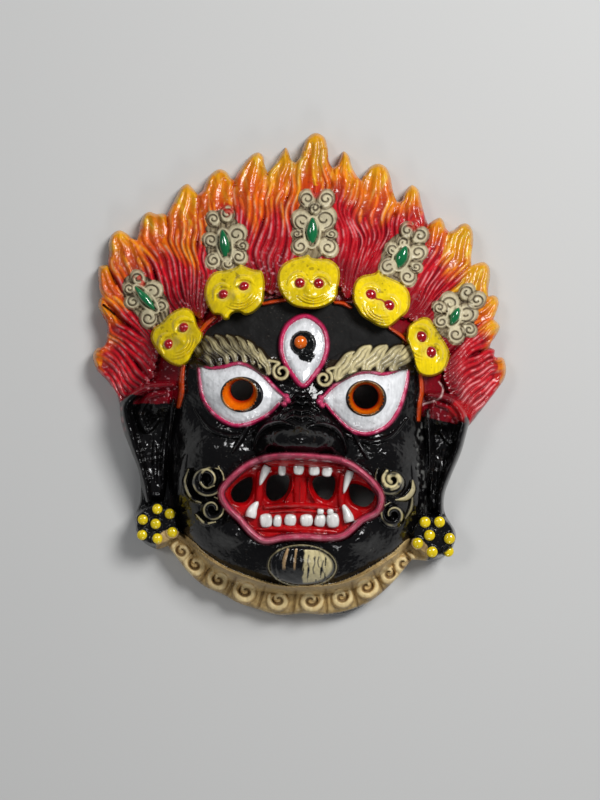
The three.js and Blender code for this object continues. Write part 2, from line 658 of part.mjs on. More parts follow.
function carveOrnament(relief, { stone, half, turn, curls }) {
  relief.boss(oval(stone, half[0] + 3, half[1] + 2, 12, turn), LEAF_HEIGHT, { edge: 1.2 });
  curls.forEach(([u, v, radius, way]) => {
    relief.boss(oval([u, v], radius * 1.15, radius * 1.15, 12), LEAF_HEIGHT, { edge: 1 });
    const outward = Math.atan2(v - stone[1], u - stone[0]);
    const curl = scroll([u, v], radius, outward + way * 2.2, way * -0.9);
    relief.stroke(curl.map((point) => [...point, LEAF_HEIGHT - 0.2]), 2.2, 1.9, { start: 0.6, end: 0.8 });
  });
  relief.boss(oval(stone, ...half, 10, turn), LEAF_HEIGHT + 1.6, { edge: 0.8, dome: 1 });
}

// Straps of the crown, across the forehead and down the temples.
const STRAPS = [
  [[-39, 14.5], [-36, 18], [-33, 20.4]],
  [[-16, 25.6], [-12, 27], [-7, 27.6]],
  [[11, 27.4], [14, 27], [17, 25.8]],
  [[32, 18.4], [36, 16], [39, 13.5]],
  [[-45.5, 1], [-46, -6], [-46, -14]],
  [[44.5, 1], [44.5, -7], [44, -15.5]],
];
const carveStrap = (relief, points) => relief.stroke(points, 2.6, 1.6, { start: 0.8, end: 0.8 });

// Eyes: a bulging ball with a raised ring round the pupil's opening, between two lids that meet at the nose.
const EYES = [
  {
    pupil: [-22.9, -8.2],
    upper: [[-40, 1.5], [-35, 0.7], [-30, 1.3], [-24, 3.2], [-17, 0.5], [-10, -6], [-6, -9]],
    lower: [[-39.8, 1], [-37, -11], [-32, -17], [-25, -20.5], [-18, -19], [-12, -15.5], [-8, -11]],
  },
  {
    pupil: [24.1, -8.2],
    upper: [[40, 4.2], [34, 2], [30, 1], [25, 2], [19, 0.5], [12, -4], [7.5, -9]],
    lower: [[39.9, 3], [38.5, -6], [36.5, -13], [32, -19], [25, -22], [19, -20.5], [13, -15.5], [9, -11]],
  },
];
const RING_RADIUS = 8;
const RING_HEIGHT = 3.8;

function carveEye(relief, { pupil, upper, lower }) {
  relief.boss([...upper.slice(1), ...lower.slice(1).reverse()], 1, { edge: 2, dome: 2 });
  relief.boss(oval(pupil, RING_RADIUS, RING_RADIUS * 0.9, 20), RING_HEIGHT, { edge: 1 });
  relief.stroke(upper, 2.6, 3.4, { start: 0.5, end: 0.5 });
  relief.stroke(lower, 2.6, 3, { start: 0.5, end: 0.5 });
}

// The pupil's opening narrows from its ring to where it breaks through behind.
function pupilHole({ pupil }) {
  const top = plain(...pupil) + RING_HEIGHT + 4;
  const slope = (EYE_HOLE_FRONT - EYE_HOLE_BACK) / (RING_HEIGHT + WALL / OUT);
  const depth = RING_HEIGHT + 4 + WALL / OUT;
  const cone = new THREE.CylinderGeometry(EYE_HOLE_FRONT + 4 * slope, EYE_HOLE_BACK, depth, 18);
  cone.rotateX(Math.PI / 2);
  cone.translate(0, 0, top - depth / 2);
  const sight = new THREE.CylinderGeometry(EYE_HOLE_BACK, EYE_HOLE_BACK, top, 18);
  sight.rotateX(Math.PI / 2);
  sight.translate(0, 0, top / 2);
  const through = [cone, sight].map((geometry) => {
    geometry.scale(1 / ACROSS, 1 / UP, 1);
    geometry.translate(pupil[0], pupil[1], 0);
    return solidOf(geometry);
  });
  return join(through);
}

// The third eye stands upright in the middle of the forehead.
const DROP = [
  [0.3, -4.4], [4.4, 0], [7.6, 5.5], [8.6, 12], [6.4, 18.2], [0, 21.8], [-6.4, 18.2], [-8.6, 12],
  [-7.6, 5.5], [-4.2, 0],
];

function carveThirdEye(relief) {
  relief.boss(DROP, 1.6, { edge: 2, dome: 1.6 });
  relief.stroke([...DROP, DROP[0]], 2.2, 2.6, { start: 0.9, end: 0.9 });
  relief.boss(oval([-0.3, 11.5], 4.9, 4.9), 4, { edge: 0.8 });
  relief.bead([-1.3, 11.9], 2.3, 1.6, 4);
}

// Brows: slanted locks over each upper lid, running in to a scroll at the nose.
const BROWS = [
  { line: [[-40, 5], [-34, 6.5], [-27, 8], [-20, 7], [-13, 2.5]], locks: 7, side: -1, scrollAt: [-8, 0.5] },
  { line: [[40.5, 7], [34, 6.5], [27, 6.3], [20, 5.5], [12.5, 1.5]], locks: 6, side: 1, scrollAt: [8, -1.7] },
];
const BROW_HEIGHT = 3.4;

function carveBrow(relief, { line, locks, side, scrollAt }) {
  const spine = curveThrough(line);
  for (let lock = 0; lock < locks; lock++) {
    const { x, y } = spine.getPoint((lock + 0.5) / locks);
    const lean = 3.2 * side;
    const points = [[x - lean * 0.8, y - 4], [x - lean * 0.2, y - 0.5], [x + lean, y + 5.4]];
    relief.stroke(points, 4.6, BROW_HEIGHT, { start: 0.45, end: 0.3 });
  }
  relief.stroke(scroll(scrollAt, 3, side > 0 ? 1 : 2.1, side * -1.1), 2.2, 2.8, { start: 0.7, end: 0.7 });
}

// Nose: a wrinkled bridge, a broad tip and two winged nostrils.
function carveNose(relief) {
  relief.boss(oval([0, -25.5], 7.4, 5.8), 1.6, { edge: 3, dome: 2.4 });
  [-1, 1].forEach((side) => {
    relief.boss(oval([9.8 * side, -25.4], 5.4, 4.8), 1.6, { edge: 2.4, dome: 2 });
    relief.stroke([[3.4 * side, -20.5], [8 * side, -19.4], [13 * side, -22], [15 * side, -28]], 2.6, 2.4);
  });
  [[-10, 5], [-13.2, 6], [-16.6, 6.5]].forEach(([v, reach]) => {
    relief.stroke([[-reach, v - 1.4], [0, v], [reach, v - 1.4]], 2.8, 1.8);
  });
}

// Mouth: one lip all round, a row of teeth and two fangs above and below, and four openings between them.
const LIP = [
  [-28.9, -45.7], [-23.6, -38.6], [-17.9, -34.3], [-10.7, -31.8], [-2, -31], [7, -31.2], [16.4, -32.2],
  [22.9, -35.7], [28.6, -40.7], [31.4, -45.5], [30, -50.7], [24.3, -54.6], [17.9, -60.2], [11.4, -61.8],
  [3.6, -61.8], [-5, -62.5], [-12, -63.5], [-17, -60.4], [-21.8, -55.4], [-26.8, -50.7], [-28.9, -45.7],
];
const LIP_HEIGHT = 6;
const UPPER_TEETH = [[-6.3, -36.3, 2.6], [-0.1, -35.7, 3.4], [5.7, -35.7, 3.6], [10.5, -35.7, 3.6]];
const LOWER_TEETH = [
  [-11.6, -55.7, 4.2], [-7.3, -55.6, 2.9], [-2.5, -55.2, 4], [3.6, -55, 4.2], [8.6, -55, 3.6],
  [13.4, -55, 4.4],
];
const FANGS = [
  [[-12, -35.2], [-13.4, -38.5], [-14.4, -42.4]],
  [[19.4, -35.8], [18.3, -39.6], [17.2, -44]],
  [[-18, -55], [-17, -52], [-14.6, -48.8]],
  [[20, -55.4], [19, -52], [16.8, -48.4]],
];
const MOUTH_HOLES = [
  [[-25.6, -46], [-24, -42.4], [-17.6, -39.2], [-17.4, -45], [-19.8, -49.2], [-24, -49.2]],
  [[-11.8, -41.4], [-10.4, -39.1], [-3.9, -38.8], [-3.9, -43.6], [-5.7, -46.4], [-9.3, -48], [-11.6, -46.4]],
  [[5.4, -40], [6.4, -38.8], [13.2, -38.4], [13.4, -43.6], [11.4, -46.8], [7.9, -45.7], [5.7, -42.5]],
  [[19.6, -41.2], [22.9, -40.6], [28.8, -43.9], [28.2, -47], [25.5, -49], [21.2, -48.1], [19.5, -45.2]],
];

function carveTooth(relief, [u, v, width]) {
  const half = width / 2;
  const tall = 1.9;
  const outline = [[u - half, v - tall], [u + half, v - tall], [u + half, v + tall], [u - half, v + tall]];
  relief.boss(outline, 3.4, { edge: 0.8, dome: 0.4 });
}

function carveMouth(relief) {
  relief.stroke(LIP, 3.4, LIP_HEIGHT, { start: 1, end: 1 });
  [-33.6, -58.6].forEach((v) => relief.stroke([[-16, v - 0.8], [-6, v], [6, v], [17, v - 0.8]], 3.6, 2.2));
  [...UPPER_TEETH, ...LOWER_TEETH].forEach((tooth) => carveTooth(relief, tooth));
  FANGS.forEach((points) => relief.stroke(points, 4.6, 4.4, { start: 0.8, end: 0.2 }));
  relief.stroke([[-12, -50.4], [-5, -49.6], [2, -49.2], [9, -49.6], [15, -50.4]], 3, 1.8);
  relief.stroke([[0.6, -37.5], [0.8, -43], [0.8, -49]], 4.2, 1.8, { start: 0.9, end: 0.9 });
}

const mouthHole = (outline) => prism([...outline].reverse(), 0, CLEAR_TOP);

// Cheeks and chin: scrolls with a raised edge, a tuft of beard under the lip and a bulge on either side.
const CHEEK_SCROLLS = [
  { centre: [-35.6, -41], radius: 6.6, from: 0.4, turns: -1.25 },
  { centre: [-32.6, -52.4], radius: 4.6, from: 1.2, turns: -1.15 },
  { centre: [36, -39], radius: 6.6, from: 2.7, turns: 1.25 },
  { centre: [36.2, -51.6], radius: 4.8, from: 1.9, turns: 1.15 },
];

function carveCheek(relief, { centre, radius, from, turns }) {
  relief.stroke(scroll(centre, radius, from, turns, 11), 2.8, 3, { start: 0.4, end: 0.8 });
}

function carveChin(relief) {
  [-23, 23].forEach((u) => relief.boss(oval([u, -62], 7.5, 6), 1.2, { edge: 3, dome: 2 }));
  relief.boss(oval([2.9, -72], 13, 7.8, 20), 1.4, { edge: 1.6, dome: 1.8 });
  for (let u = -7; u < 12; u += 3.5) {
    const lock = [[u + 0.8, -66, 2.2], [u, -72, 3], [u - 0.6, -77.6, 1.4]];
    relief.stroke(lock, 2.6, 1.3, { start: 0.6, end: 0.5 });
  }
}

// Ears: long lobes with a raised rim round a hollow, each with a round earring of seven beads on its end.
const EARS = [
  {
    rim: [[-49, -6], [-58, -7.5], [-66, -14], [-64, -24], [-60.5, -34], [-57.5, -43], [-56, -50]],
    inner: -48.5,
  },
  {
    rim: [[48, -6], [56, -7.5], [61, -14], [59.4, -24], [56, -34], [53.4, -43], [53.6, -50]],
    inner: 47.5,
  },
];
const EARRINGS = [
  {
    centre: [-52.8, -59],
    beads: [[0, 0], [0.1, 6], [5, 4.6], [-5.2, 1.8], [6.1, -2.5], [-5.2, -4], [0.6, -5.1]],
  },
  {
    centre: [51.7, -59],
    beads: [[-1.6, 0.3], [-3.5, 5.2], [1.9, 5.5], [6, -0.7], [-5.9, -2.9], [-0.4, -6], [5.7, -5.5]],
  },
];

function carveEar(relief, { rim, inner }) {
  const side = Math.sign(inner);
  const lobe = [...rim, [inner + 2 * side, -50], [inner, -34], [inner, -18]];
  relief.boss(lobe, 4, { edge: 2 });
  relief.stroke(rim, 5, 9.5, { start: 0.6, end: 0.6 });
  relief.stroke([[inner, -14], [inner + 2.4 * side, -28], [inner + 2.6 * side, -48]], 3.4, 8, { start: 0.6 });
}

function carveEarring(relief, { centre, beads }) {
  relief.boss(oval(centre, 8.6, 8.4, 20), 8, { edge: 1.6 });
  beads.forEach(([u, v]) => relief.bead([centre[0] + u, centre[1] + v], 2, 2.2, 7.8));
}

// Beard band: a scalloped edge of scrolls below the jaw, from one earring to the other.
const BAND_SPINE = [
  [-47, -66], [-42.9, -67.9], [-37.5, -73.2], [-28.6, -78.2], [-18.2, -82.1], [-5.7, -85.4], [6.4, -84.3],
  [17.9, -82.9], [27.1, -78.6], [35.4, -73.6], [40.7, -69.3], [44, -66],
];

function carveBand(relief) {
  relief.stroke(BAND_SPINE, 11, 2.4, { start: 0.9, end: 0.9 });
  BAND_SPINE.slice(1, -1).forEach((centre, i) => {
    const way = centre[0] < 0 ? 1 : -1;
    const radius = i % 2 ? 4.6 : 4.1;
    const points = scroll(centre, radius, Math.PI / 2 + way, way * 1.1).map((point) => [...point, 1.8]);
    relief.stroke(points, 2.6, 2.2, { start: 0.6, end: 0.8 });
  });
}

// The whole casting
function carvedRelief() {
  const relief = new Relief(FRONT_SAMPLE, plain);
  carveFlames(relief);
  const flames = relief.rise.slice();
  ORNAMENTS.forEach((ornament) => carveOrnament(relief, ornament));
  SKULLS.forEach((skull) => carveSkull(relief, skull));
  STRAPS.forEach((strap) => carveStrap(relief, strap));
  EYES.forEach((eye) => carveEye(relief, eye));
  carveThirdEye(relief);
  BROWS.forEach((brow) => carveBrow(relief, brow));
  carveNose(relief);
  carveMouth(relief);
  CHEEK_SCROLLS.forEach((cheek) => carveCheek(relief, cheek));
  carveChin(relief);
  EARS.forEach((ear) => carveEar(relief, ear));
  EARRINGS.forEach((earring) => carveEarring(relief, earring));
  carveBand(relief);
  keepStrands(relief, flames);
  return relief;
}

// Where the flames still show, away from what stands on them, their own corners are enough.
function keepStrands(relief, flames) {
  const shows = (i) => flames[i] > 0 && relief.rise[i] === flames[i];
  const reach = Math.round(STRAND_MARGIN / relief.cell);
  const around = [1, -1, relief.columns, -relief.columns].map((way) => way * reach);
  relief.rise.forEach((_, i) => {
    if (shows(i) && around.every((way) => shows(i + way))) relief.done.add(i);
  });
  const kept = [];
  const keep = ([u, v], gap) => {
    if (kept.every((other) => Math.hypot(other[0] - u, other[1] - v) > gap)) kept.push([u, v]);
  };
  relief.strands.filter(([u, v]) => shows(relief.nearest(u, v))).forEach((point) => keep(point, CORNER_GAP));
  relief.ridges.forEach(({ at, crest }) => {
    const covered = crest !== null && relief.rise[relief.nearest(...at)] > crest + 0.2;
    if (!covered) keep(at, RIDGE_GAP);
  });
  relief.strands = kept;
}

// Which samples count: those inside an outline.
function samplesIn(relief, outline) {
  const depth = insideOf(outline);
  const counts = new Uint8Array(relief.rise.length);
  relief.u.forEach((u, i) => {
    counts[i] = depth(u, relief.v[i]) > 0 && !relief.done.has(i) ? 1 : 0;
  });
  return counts;
}

function front() {
  const relief = carvedRelief();
  const outline = maskOutline();
  const facets = new Facets(relief, FRONT_CORNERS, samplesIn(relief, outline));
  return facets.solid(0).intersect(prism(outline, 0, CLEAR_TOP));
}

function hollow() {
  const relief = new Relief(HOLLOW_SAMPLE, (u, v) => Math.max(plain(u, v) - WALL / OUT, -1));
  const outline = hollowOutline();
  const facets = new Facets(relief, HOLLOW_CORNERS, samplesIn(relief, outline));
  return facets.solid(CLEAR_FLOOR).intersect(prism(outline, CLEAR_FLOOR, CLEAR_TOP));
}

function casting() {
  const openings = [hollow(), ...EYES.map(pupilHole), ...MOUTH_HOLES.map(mouthHole)];
  return front().subtract(join(openings));
}

function geometryOf(solid) {
  const { vertProperties, triVerts } = solid.getMesh();
  const geometry = new THREE.BufferGeometry();
  geometry.setAttribute("position", new THREE.BufferAttribute(new Float32Array(vertProperties), 3));
  geometry.setIndex(new THREE.BufferAttribute(new Uint32Array(triVerts), 1));
  geometry.computeBoundingBox();
  const middle = geometry.boundingBox.getCenter(new THREE.Vector3());
  geometry.translate(-middle.x, -middle.y, -geometry.boundingBox.min.z);
  return geometry;
}

const enamel = new THREE.MeshStandardMaterial({ color: 0xa83418, roughness: 0.35, metalness: 0.1 });
const mask = new THREE.Mesh(geometryOf(casting()), enamel);
mask.name = "mask";

const group = new THREE.Group();
group.add(mask);

export default group;
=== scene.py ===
import math
import bpy
import numpy as np
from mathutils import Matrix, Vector
from mathutils.geometry import delaunay_2d_cdt


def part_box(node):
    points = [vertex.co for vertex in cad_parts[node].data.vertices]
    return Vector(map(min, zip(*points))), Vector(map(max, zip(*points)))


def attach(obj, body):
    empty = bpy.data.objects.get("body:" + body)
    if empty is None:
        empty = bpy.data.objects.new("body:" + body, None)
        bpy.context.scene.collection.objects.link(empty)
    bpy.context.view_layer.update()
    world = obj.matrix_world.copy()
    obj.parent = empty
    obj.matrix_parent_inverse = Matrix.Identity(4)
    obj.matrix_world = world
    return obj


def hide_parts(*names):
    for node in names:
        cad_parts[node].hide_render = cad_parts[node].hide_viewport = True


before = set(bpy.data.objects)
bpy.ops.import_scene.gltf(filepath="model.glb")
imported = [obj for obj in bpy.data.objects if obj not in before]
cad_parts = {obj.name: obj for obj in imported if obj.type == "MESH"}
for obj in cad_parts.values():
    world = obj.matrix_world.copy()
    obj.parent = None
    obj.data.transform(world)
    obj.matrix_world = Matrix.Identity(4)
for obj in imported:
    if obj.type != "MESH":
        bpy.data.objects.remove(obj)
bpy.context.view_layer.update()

# The casting: one thin aluminium shell, sand cast from a carved pattern, with the whole face and its crown of
# flames raised on it and enamelled by hand. It is drawn in millimetres, u to the right and v up, and leans in
# towards one point as it rises, the way the casting drew from its mould.
WALL = 3.0
DRAFT_CENTRE = (-0.7, -9.8)
DRAFT_APEX = 480.0
DRAFT_LEVEL = 8.0
EDGE_LEVEL, TIP_LEVEL, CROWN_LEVEL, FACE_LEVEL = 6.0, 3.0, 30.0, 37.0
FINE = 0.3
RIM_ROUND, EDGE_DROP = 1.3, 1.4


def mix(a, b, share):
    return a + (b - a) * share


def smooth(x, low, high):
    t = np.clip((x - low) / (high - low), 0, 1)
    return t * t * (3 - 2 * t)


def soft_max(a, b, round_off):
    near = np.maximum(round_off - np.abs(a - b), 0) / round_off
    return np.maximum(a, b) + near * near * round_off / 4


def bump(u, v, centre, across, up, power=1.0):
    out = ((u - centre[0]) / across) ** 2 + ((v - centre[1]) / up) ** 2
    return np.clip(1 - out, 0, 1) ** (1.5 * power)


def plain(u, v):
    """The casting's form before any carving."""
    out = np.abs(u / 50) ** 2.6 + np.abs((v + 20) / 63) ** 2.6
    dome = EDGE_LEVEL + (FACE_LEVEL - EDGE_LEVEL) * np.clip(1 - out, 0, 1) ** 0.42
    out = np.clip((np.hypot(u, v + 2) - 38) / 46, 0, 1)
    slope = TIP_LEVEL + (CROWN_LEVEL - TIP_LEVEL) * (1 - out) ** 1.15
    slope = mix(EDGE_LEVEL, slope, smooth(v, -28, -8))
    form = soft_max(dome, slope, 8)
    form = form + 8 * bump(u, v, (0, -26), 18, 13, 0.5) + 5 * bump(u, v, (0, -15), 12, 22, 0.6)
    form = form - 5 * bump(u, v, (0, -47), 34, 20)
    form = form + 4 * bump(u, v, (-33, -36), 16, 20) + 4 * bump(u, v, (34, -36), 16, 20)
    form = form + 3 * bump(u, v, (-23, -8), 20, 17) + 3 * bump(u, v, (24, -8), 20, 17)
    return form + 3 * bump(u, v, (2, -71), 18, 14)


def curve(points, count, closed=False):
    """Points of a smooth curve through the given ones."""
    p = np.asarray(points, float)
    p = np.vstack([p[-1], p, p[0], p[1]]) if closed else np.vstack([2 * p[0] - p[1], p, 2 * p[-1] - p[-2]])
    gaps = np.sqrt(np.linalg.norm(np.diff(p, axis=0), axis=1)) + 1e-6
    knots = np.concatenate([[0], np.cumsum(gaps)])
    t = np.linspace(knots[1], knots[-2], count, endpoint=not closed)
    i = np.clip(np.searchsorted(knots, t, side="right") - 1, 1, len(p) - 3)
    k = [knots[i + step] for step in (-1, 0, 1, 2)]
    q = [p[i + step] for step in (-1, 0, 1, 2)]

    def between(a, b, start, end):
        share = ((t - start) / (end - start))[:, None]
        return a * (1 - share) + b * share

    a = [between(q[j], q[j + 1], k[j], k[j + 1]) for j in range(3)]
    b = [between(a[j], a[j + 1], k[j], k[j + 2]) for j in range(2)]
    return between(b[0], b[1], k[1], k[2])


def spaced(line, step, closed=False):
    """The same line with evenly spaced points."""
    line = np.asarray(line, float)
    if closed:
        line = np.vstack([line, line[:1]])
    run = np.concatenate([[0], np.cumsum(np.linalg.norm(np.diff(line, axis=0), axis=1))])
    count = max(2, round(run[-1] / step) + 1)
    at = np.linspace(0, run[-1], count)
    line = np.stack([np.interp(at, run, line[:, 0]), np.interp(at, run, line[:, 1])], 1)
    return line[:-1] if closed else line


def depth_in(outline, u, v):
    """How far each point lies inside an outline, less than 0 outside it."""
    near = np.full(len(u), np.inf)
    inside = np.zeros(len(u), bool)
    for (au, av), (bu, bv) in zip(outline, np.roll(outline, -1, axis=0)):
        du, dv = bu - au, bv - av
        share = np.clip(((u - au) * du + (v - av) * dv) / (du * du + dv * dv + 1e-12), 0, 1)
        near = np.minimum(near, np.hypot(u - au - share * du, v - av - share * dv))
        if dv:
            inside ^= ((av > v) != (bv > v)) & (u < au + (v - av) * du / dv)
    return np.where(inside, near, -near)


def depth_near(outline, u, v, cell=3.0):
    """The same, worked out for a whole cell at once where the outline is further off than that."""
    i, j = np.floor(u / cell).astype(int), np.floor(v / cell).astype(int)
    codes, of_cell = np.unique(i * 1000 + j, return_inverse=True)
    cell_i = np.round(codes / 1000).astype(int)
    cell_j = codes - cell_i * 1000
    rough = depth_in(outline, (cell_i + 0.5) * cell, (cell_j + 0.5) * cell)[of_cell.ravel()]
    close = np.abs(rough) < 1.5 * cell
    rough[close] = depth_in(outline, u[close], v[close])
    return rough


def srgb(red, green, blue):
    part = np.array([red, green, blue]) / 255
    return np.where(part <= 0.04045, part / 12.92, ((part + 0.055) / 1.055) ** 2.4)


dice = np.random.default_rng(11)
SPOTS = dice.random((64, 64))


def noise(u, v, size, shift=0):
    """Soft random values from 0 to 1, in spots of about that size."""
    x, y = u / size + shift, v / size + 7 * shift
    i, j = np.floor(x).astype(int), np.floor(y).astype(int)
    fx, fy = smooth(x - i, 0, 1), smooth(y - j, 0, 1)
    low = mix(SPOTS[i % 64, j % 64], SPOTS[(i + 1) % 64, j % 64], fx)
    high = mix(SPOTS[i % 64, (j + 1) % 64], SPOTS[(i + 1) % 64, (j + 1) % 64], fx)
    return mix(low, high, fy)


# Tongues of flame: the edge up to the tip, the edge down from it, the valley after it, and the line of flow
# from the skulls up to that valley.
FLAMES = [
    ([(-69.6, -10.5), (-73, -6), (-77.8, -1), (-79.2, 4.2)], [(-78, 6.5), (-75.4, 7.4)], (-74.2, 11),
     [(-58, -5), (-63, 2), (-69, 8)]),
    ([(-74.4, 15.6), (-76.4, 19.2), (-78, 22.6), (-77.6, 25.2)], [], (-76.6, 26),
     [(-56, 7), (-62, 13), (-70, 18)]),
    ([(-77.7, 28.5), (-78.4, 33), (-78.2, 37.4)], [(-76.6, 37.9)], (-75.1, 38.2),
     [(-57, 13), (-66, 24), (-72, 32)]),
    ([(-74.8, 42.5), (-75, 46.5), (-73.6, 50), (-71.2, 51.3)], [(-68.4, 50.2), (-66.2, 48.4)], (-64.4, 47.9),
     [(-50, 20), (-57, 35), (-61.5, 43)]),
    ([(-63.8, 51), (-63.3, 55), (-62, 57.8), (-60, 58.7)], [(-57.4, 58), (-55.2, 58.3)], (-53.6, 57.8),
     [(-44, 22), (-48, 35), (-51.5, 47)]),
    ([(-51.6, 62), (-50, 65.6), (-48.5, 68.5), (-46.2, 69.8)], [(-44.5, 68.4)], (-42.2, 66),
     [(-39.5, 20), (-40.5, 38), (-42, 54)]),
    ([(-40.4, 67.6), (-39.6, 70.4), (-37.8, 73.6), (-34.6, 75.8)], [(-31.9, 75), (-30.4, 73)], (-28.9, 71.9),
     [(-33, 34), (-29, 52), (-28.6, 63)]),
    ([(-27, 75.6), (-24.6, 79.2), (-22.2, 81.9), (-19.9, 82.7)], [(-18.2, 81.3), (-17.5, 78.2)],
     (-16.4, 75.3),
     [(-18, 32), (-20, 48), (-16.4, 62)]),
    ([(-14.2, 77.6), (-12.4, 81), (-9.9, 85)], [(-8.6, 83), (-7.6, 80.4)], (-6, 79.4),
     [(-12, 30), (-8.6, 48), (-8.6, 64)]),
    ([(-4.2, 81.6), (-3.4, 85.2), (-2, 88.8), (1, 90.9)], [(4.2, 89.7), (5.8, 86), (6.6, 80.6)], (8, 77.9),
     [(11, 38), (12.4, 52), (9.6, 63)]),
    ([(9.7, 79), (10.9, 81.8), (11.9, 84.4)], [(14, 82.8), (15.2, 79.2), (17.2, 75.6)], (19, 73.8),
     [(16, 30), (18.8, 50), (16.6, 61)]),
    ([(20.3, 76.2), (22.2, 79), (25, 80.3)], [(28, 79.2), (29.8, 76), (31.2, 70)], (32.8, 66.2),
     [(22, 34), (27, 46), (31, 57)]),
    ([(34.6, 66.6), (35.8, 70), (38, 72.7)], [(40.4, 71.4), (42, 66.4), (43.8, 60.6)], (44.9, 58.1),
     [(34, 33), (42, 43), (44.6, 51)]),
    ([(47, 59.9), (49.3, 60.9)], [(50.8, 59.2), (51.8, 56.8)], (52.9, 55.7),
     [(38, 24), (45.5, 37), (50.5, 47)]),
    ([(55, 56.6), (57, 58.6), (59.4, 59.1)], [(61.4, 57), (62.1, 53), (61.6, 46.6)], (61.8, 43.3),
     [(42, 20), (51, 31), (58.5, 37)]),
    ([(63.6, 44.2), (66.6, 44.8)], [(68.4, 43.2), (69, 39.6), (68.5, 35)], (68.6, 32),
     [(50, 18), (61, 28), (66, 30.6)]),
    ([(70.2, 32.5), (71.8, 32)], [(72.7, 29.6), (71.8, 26)], (70.9, 23.5), [(54.5, 9), (60, 14), (66, 20)]),
    ([(72.2, 22.5), (73.4, 20.7)], [(72.2, 17.4), (70.4, 14.6)], (69.9, 12.7),
     [(54, 1), (60, 6.5), (66, 10.6)]),
    ([(71.8, 12), (71.9, 9.4), (75, 9.1), (76.4, 5.4)],
     [(76, 1.6), (73.4, -2.8), (68.8, -9.4), (65.2, -14.4)],
     (63, -17.3), [(61, -15.6)]),
]
FIRST_VALLEY = (-68.5, -14)
FIRST_FLOW = [(-66, -13)]
flame_tops, flame_sides = [], []
valley, flow = FIRST_VALLEY, FIRST_FLOW
for rising, falling, after, after_flow in FLAMES:
    flame_tops.append(curve([valley, *rising, *falling, after], 48)[:-1])
    left = spaced(curve([*flow, valley, *rising], 60), 0.8)
    right = spaced(curve([*after_flow, after, *falling[::-1], rising[-1]], 60), 0.8)
    turns = [np.argmin(np.linalg.norm(side - at, axis=1)) / len(side)
             for side, at in ((left, valley), (right, after))]
    flame_sides.append((left, right, sum(turns) / 2))
    valley, flow = after, after_flow

RIGHT_SIDE = [(63, -17.3), (60.8, -27), (57.4, -36), (55.1, -43.6), (55.5, -50), (60, -58), (58, -64.5),
              (52, -68), (43.9, -68.2)]
LEFT_SIDE = [(-48.2, -66.8), (-52.5, -68), (-59, -64), (-61, -57), (-59.2, -49.5), (-60, -40), (-63.7, -31),
             (-67.3, -22), FIRST_VALLEY]
BAND_EDGE = [(43.9, -68.2), (41.4, -71.4), (37, -77), (30, -83.6), (22, -88.6), (14.3, -90.4), (4.3, -90),
             (-5, -91.1), (-12.9, -89.3), (-21.4, -86.8), (-27, -83.9), (-33.6, -81.4), (-40, -76.4),
             (-44.3, -71.4), (-48.2, -66.8)]
outline = np.vstack([*flame_tops, curve(RIGHT_SIDE, 60)[:-1], curve(BAND_EDGE, 90)[:-1],
                     curve(LEFT_SIDE, 60)[:-1]])
hollow = np.array([FIRST_VALLEY] + [f[2] for f in FLAMES] + RIGHT_SIDE[1:-1] + BAND_EDGE + LEFT_SIDE[1:-1])
reach = np.hypot(hollow[:, 0], hollow[:, 1] + 10)
hollow = np.stack([hollow[:, 0] * (reach - 3.2) / reach, (hollow[:, 1] + 10) * (reach - 3.2) / reach - 10], 1)

# Outlines of what stands on the face, as measured.
SKULLS = [
    dict(outline=[(-57.8, 11.5), (-56.9, 14.8), (-54, 17.2), (-51.5, 20), (-49, 22), (-46, 23.1),
                  (-43.2, 22.4), (-41.4, 20), (-40.3, 16.5), (-38.4, 14), (-38.5, 11), (-40.5, 8),
                  (-41.8, 5.5), (-43, 3), (-46, 1), (-49.5, 1.6), (-53, 4), (-55.8, 7.5)],
         eyes=[(-50.8, 9.2), (-45.4, 15.6)]),
    dict(outline=[(-38.3, 30), (-37.8, 26.5), (-36.5, 23.6), (-34.6, 21.2), (-32, 20.9), (-30.5, 19.3),
                  (-28.8, 19.4), (-28, 21), (-26.5, 22.1), (-24.5, 22.2), (-22.8, 21.3), (-20, 22),
                  (-17.5, 24.2), (-16, 26.5), (-15.7, 30), (-16, 35.2), (-17.2, 38.2), (-20, 38.5),
                  (-22.6, 39.3), (-25.3, 40.2), (-27, 39), (-31, 37.8), (-35, 36.8), (-37.2, 34)],
         eyes=[(-31, 28.6), (-23.3, 31.9)]),
    dict(outline=[(-10.9, 35), (-10.6, 38.5), (-9, 41), (-5.5, 43.2), (-1.5, 44.3), (0.2, 45), (1.5, 43.8),
                  (8.4, 43.4), (11.6, 41), (12.4, 38.5), (12, 33), (11.4, 29), (9, 26.6), (5, 24.9),
                  (0, 24.6), (-4.4, 25.4), (-8, 28), (-10.2, 31.5)],
         eyes=[(-2.5, 34.1), (4.6, 34.2)]),
    dict(outline=[(17.5, 31), (18, 34.5), (19.5, 37), (22, 38.2), (25.5, 39), (27, 40.3), (28.2, 38.8),
                  (32, 37.2), (36, 35.4), (38.6, 32.5), (39.3, 28.5), (38.4, 25), (36, 22.6), (33.5, 20.2),
                  (31, 18.6), (28, 19), (24.5, 20.8), (21, 23), (19.3, 25.5), (17.8, 28)],
         eyes=[(24.3, 30.7), (31.3, 27)]),
    dict(outline=[(38.5, 17), (38.9, 19.5), (41.5, 21.8), (44.6, 23.2), (46.8, 22.8), (48.5, 20.5),
                  (50.5, 17.5), (53, 14), (54.8, 10.5), (54.4, 6.5), (52.6, 3), (49.5, 1.2), (46.5, 0.9),
                  (43.6, 2), (42, 4.8), (41, 8.5), (39.3, 12.5), (38.4, 14.8)],
         eyes=[(43.9, 15.7), (47.7, 10.1)]),
]
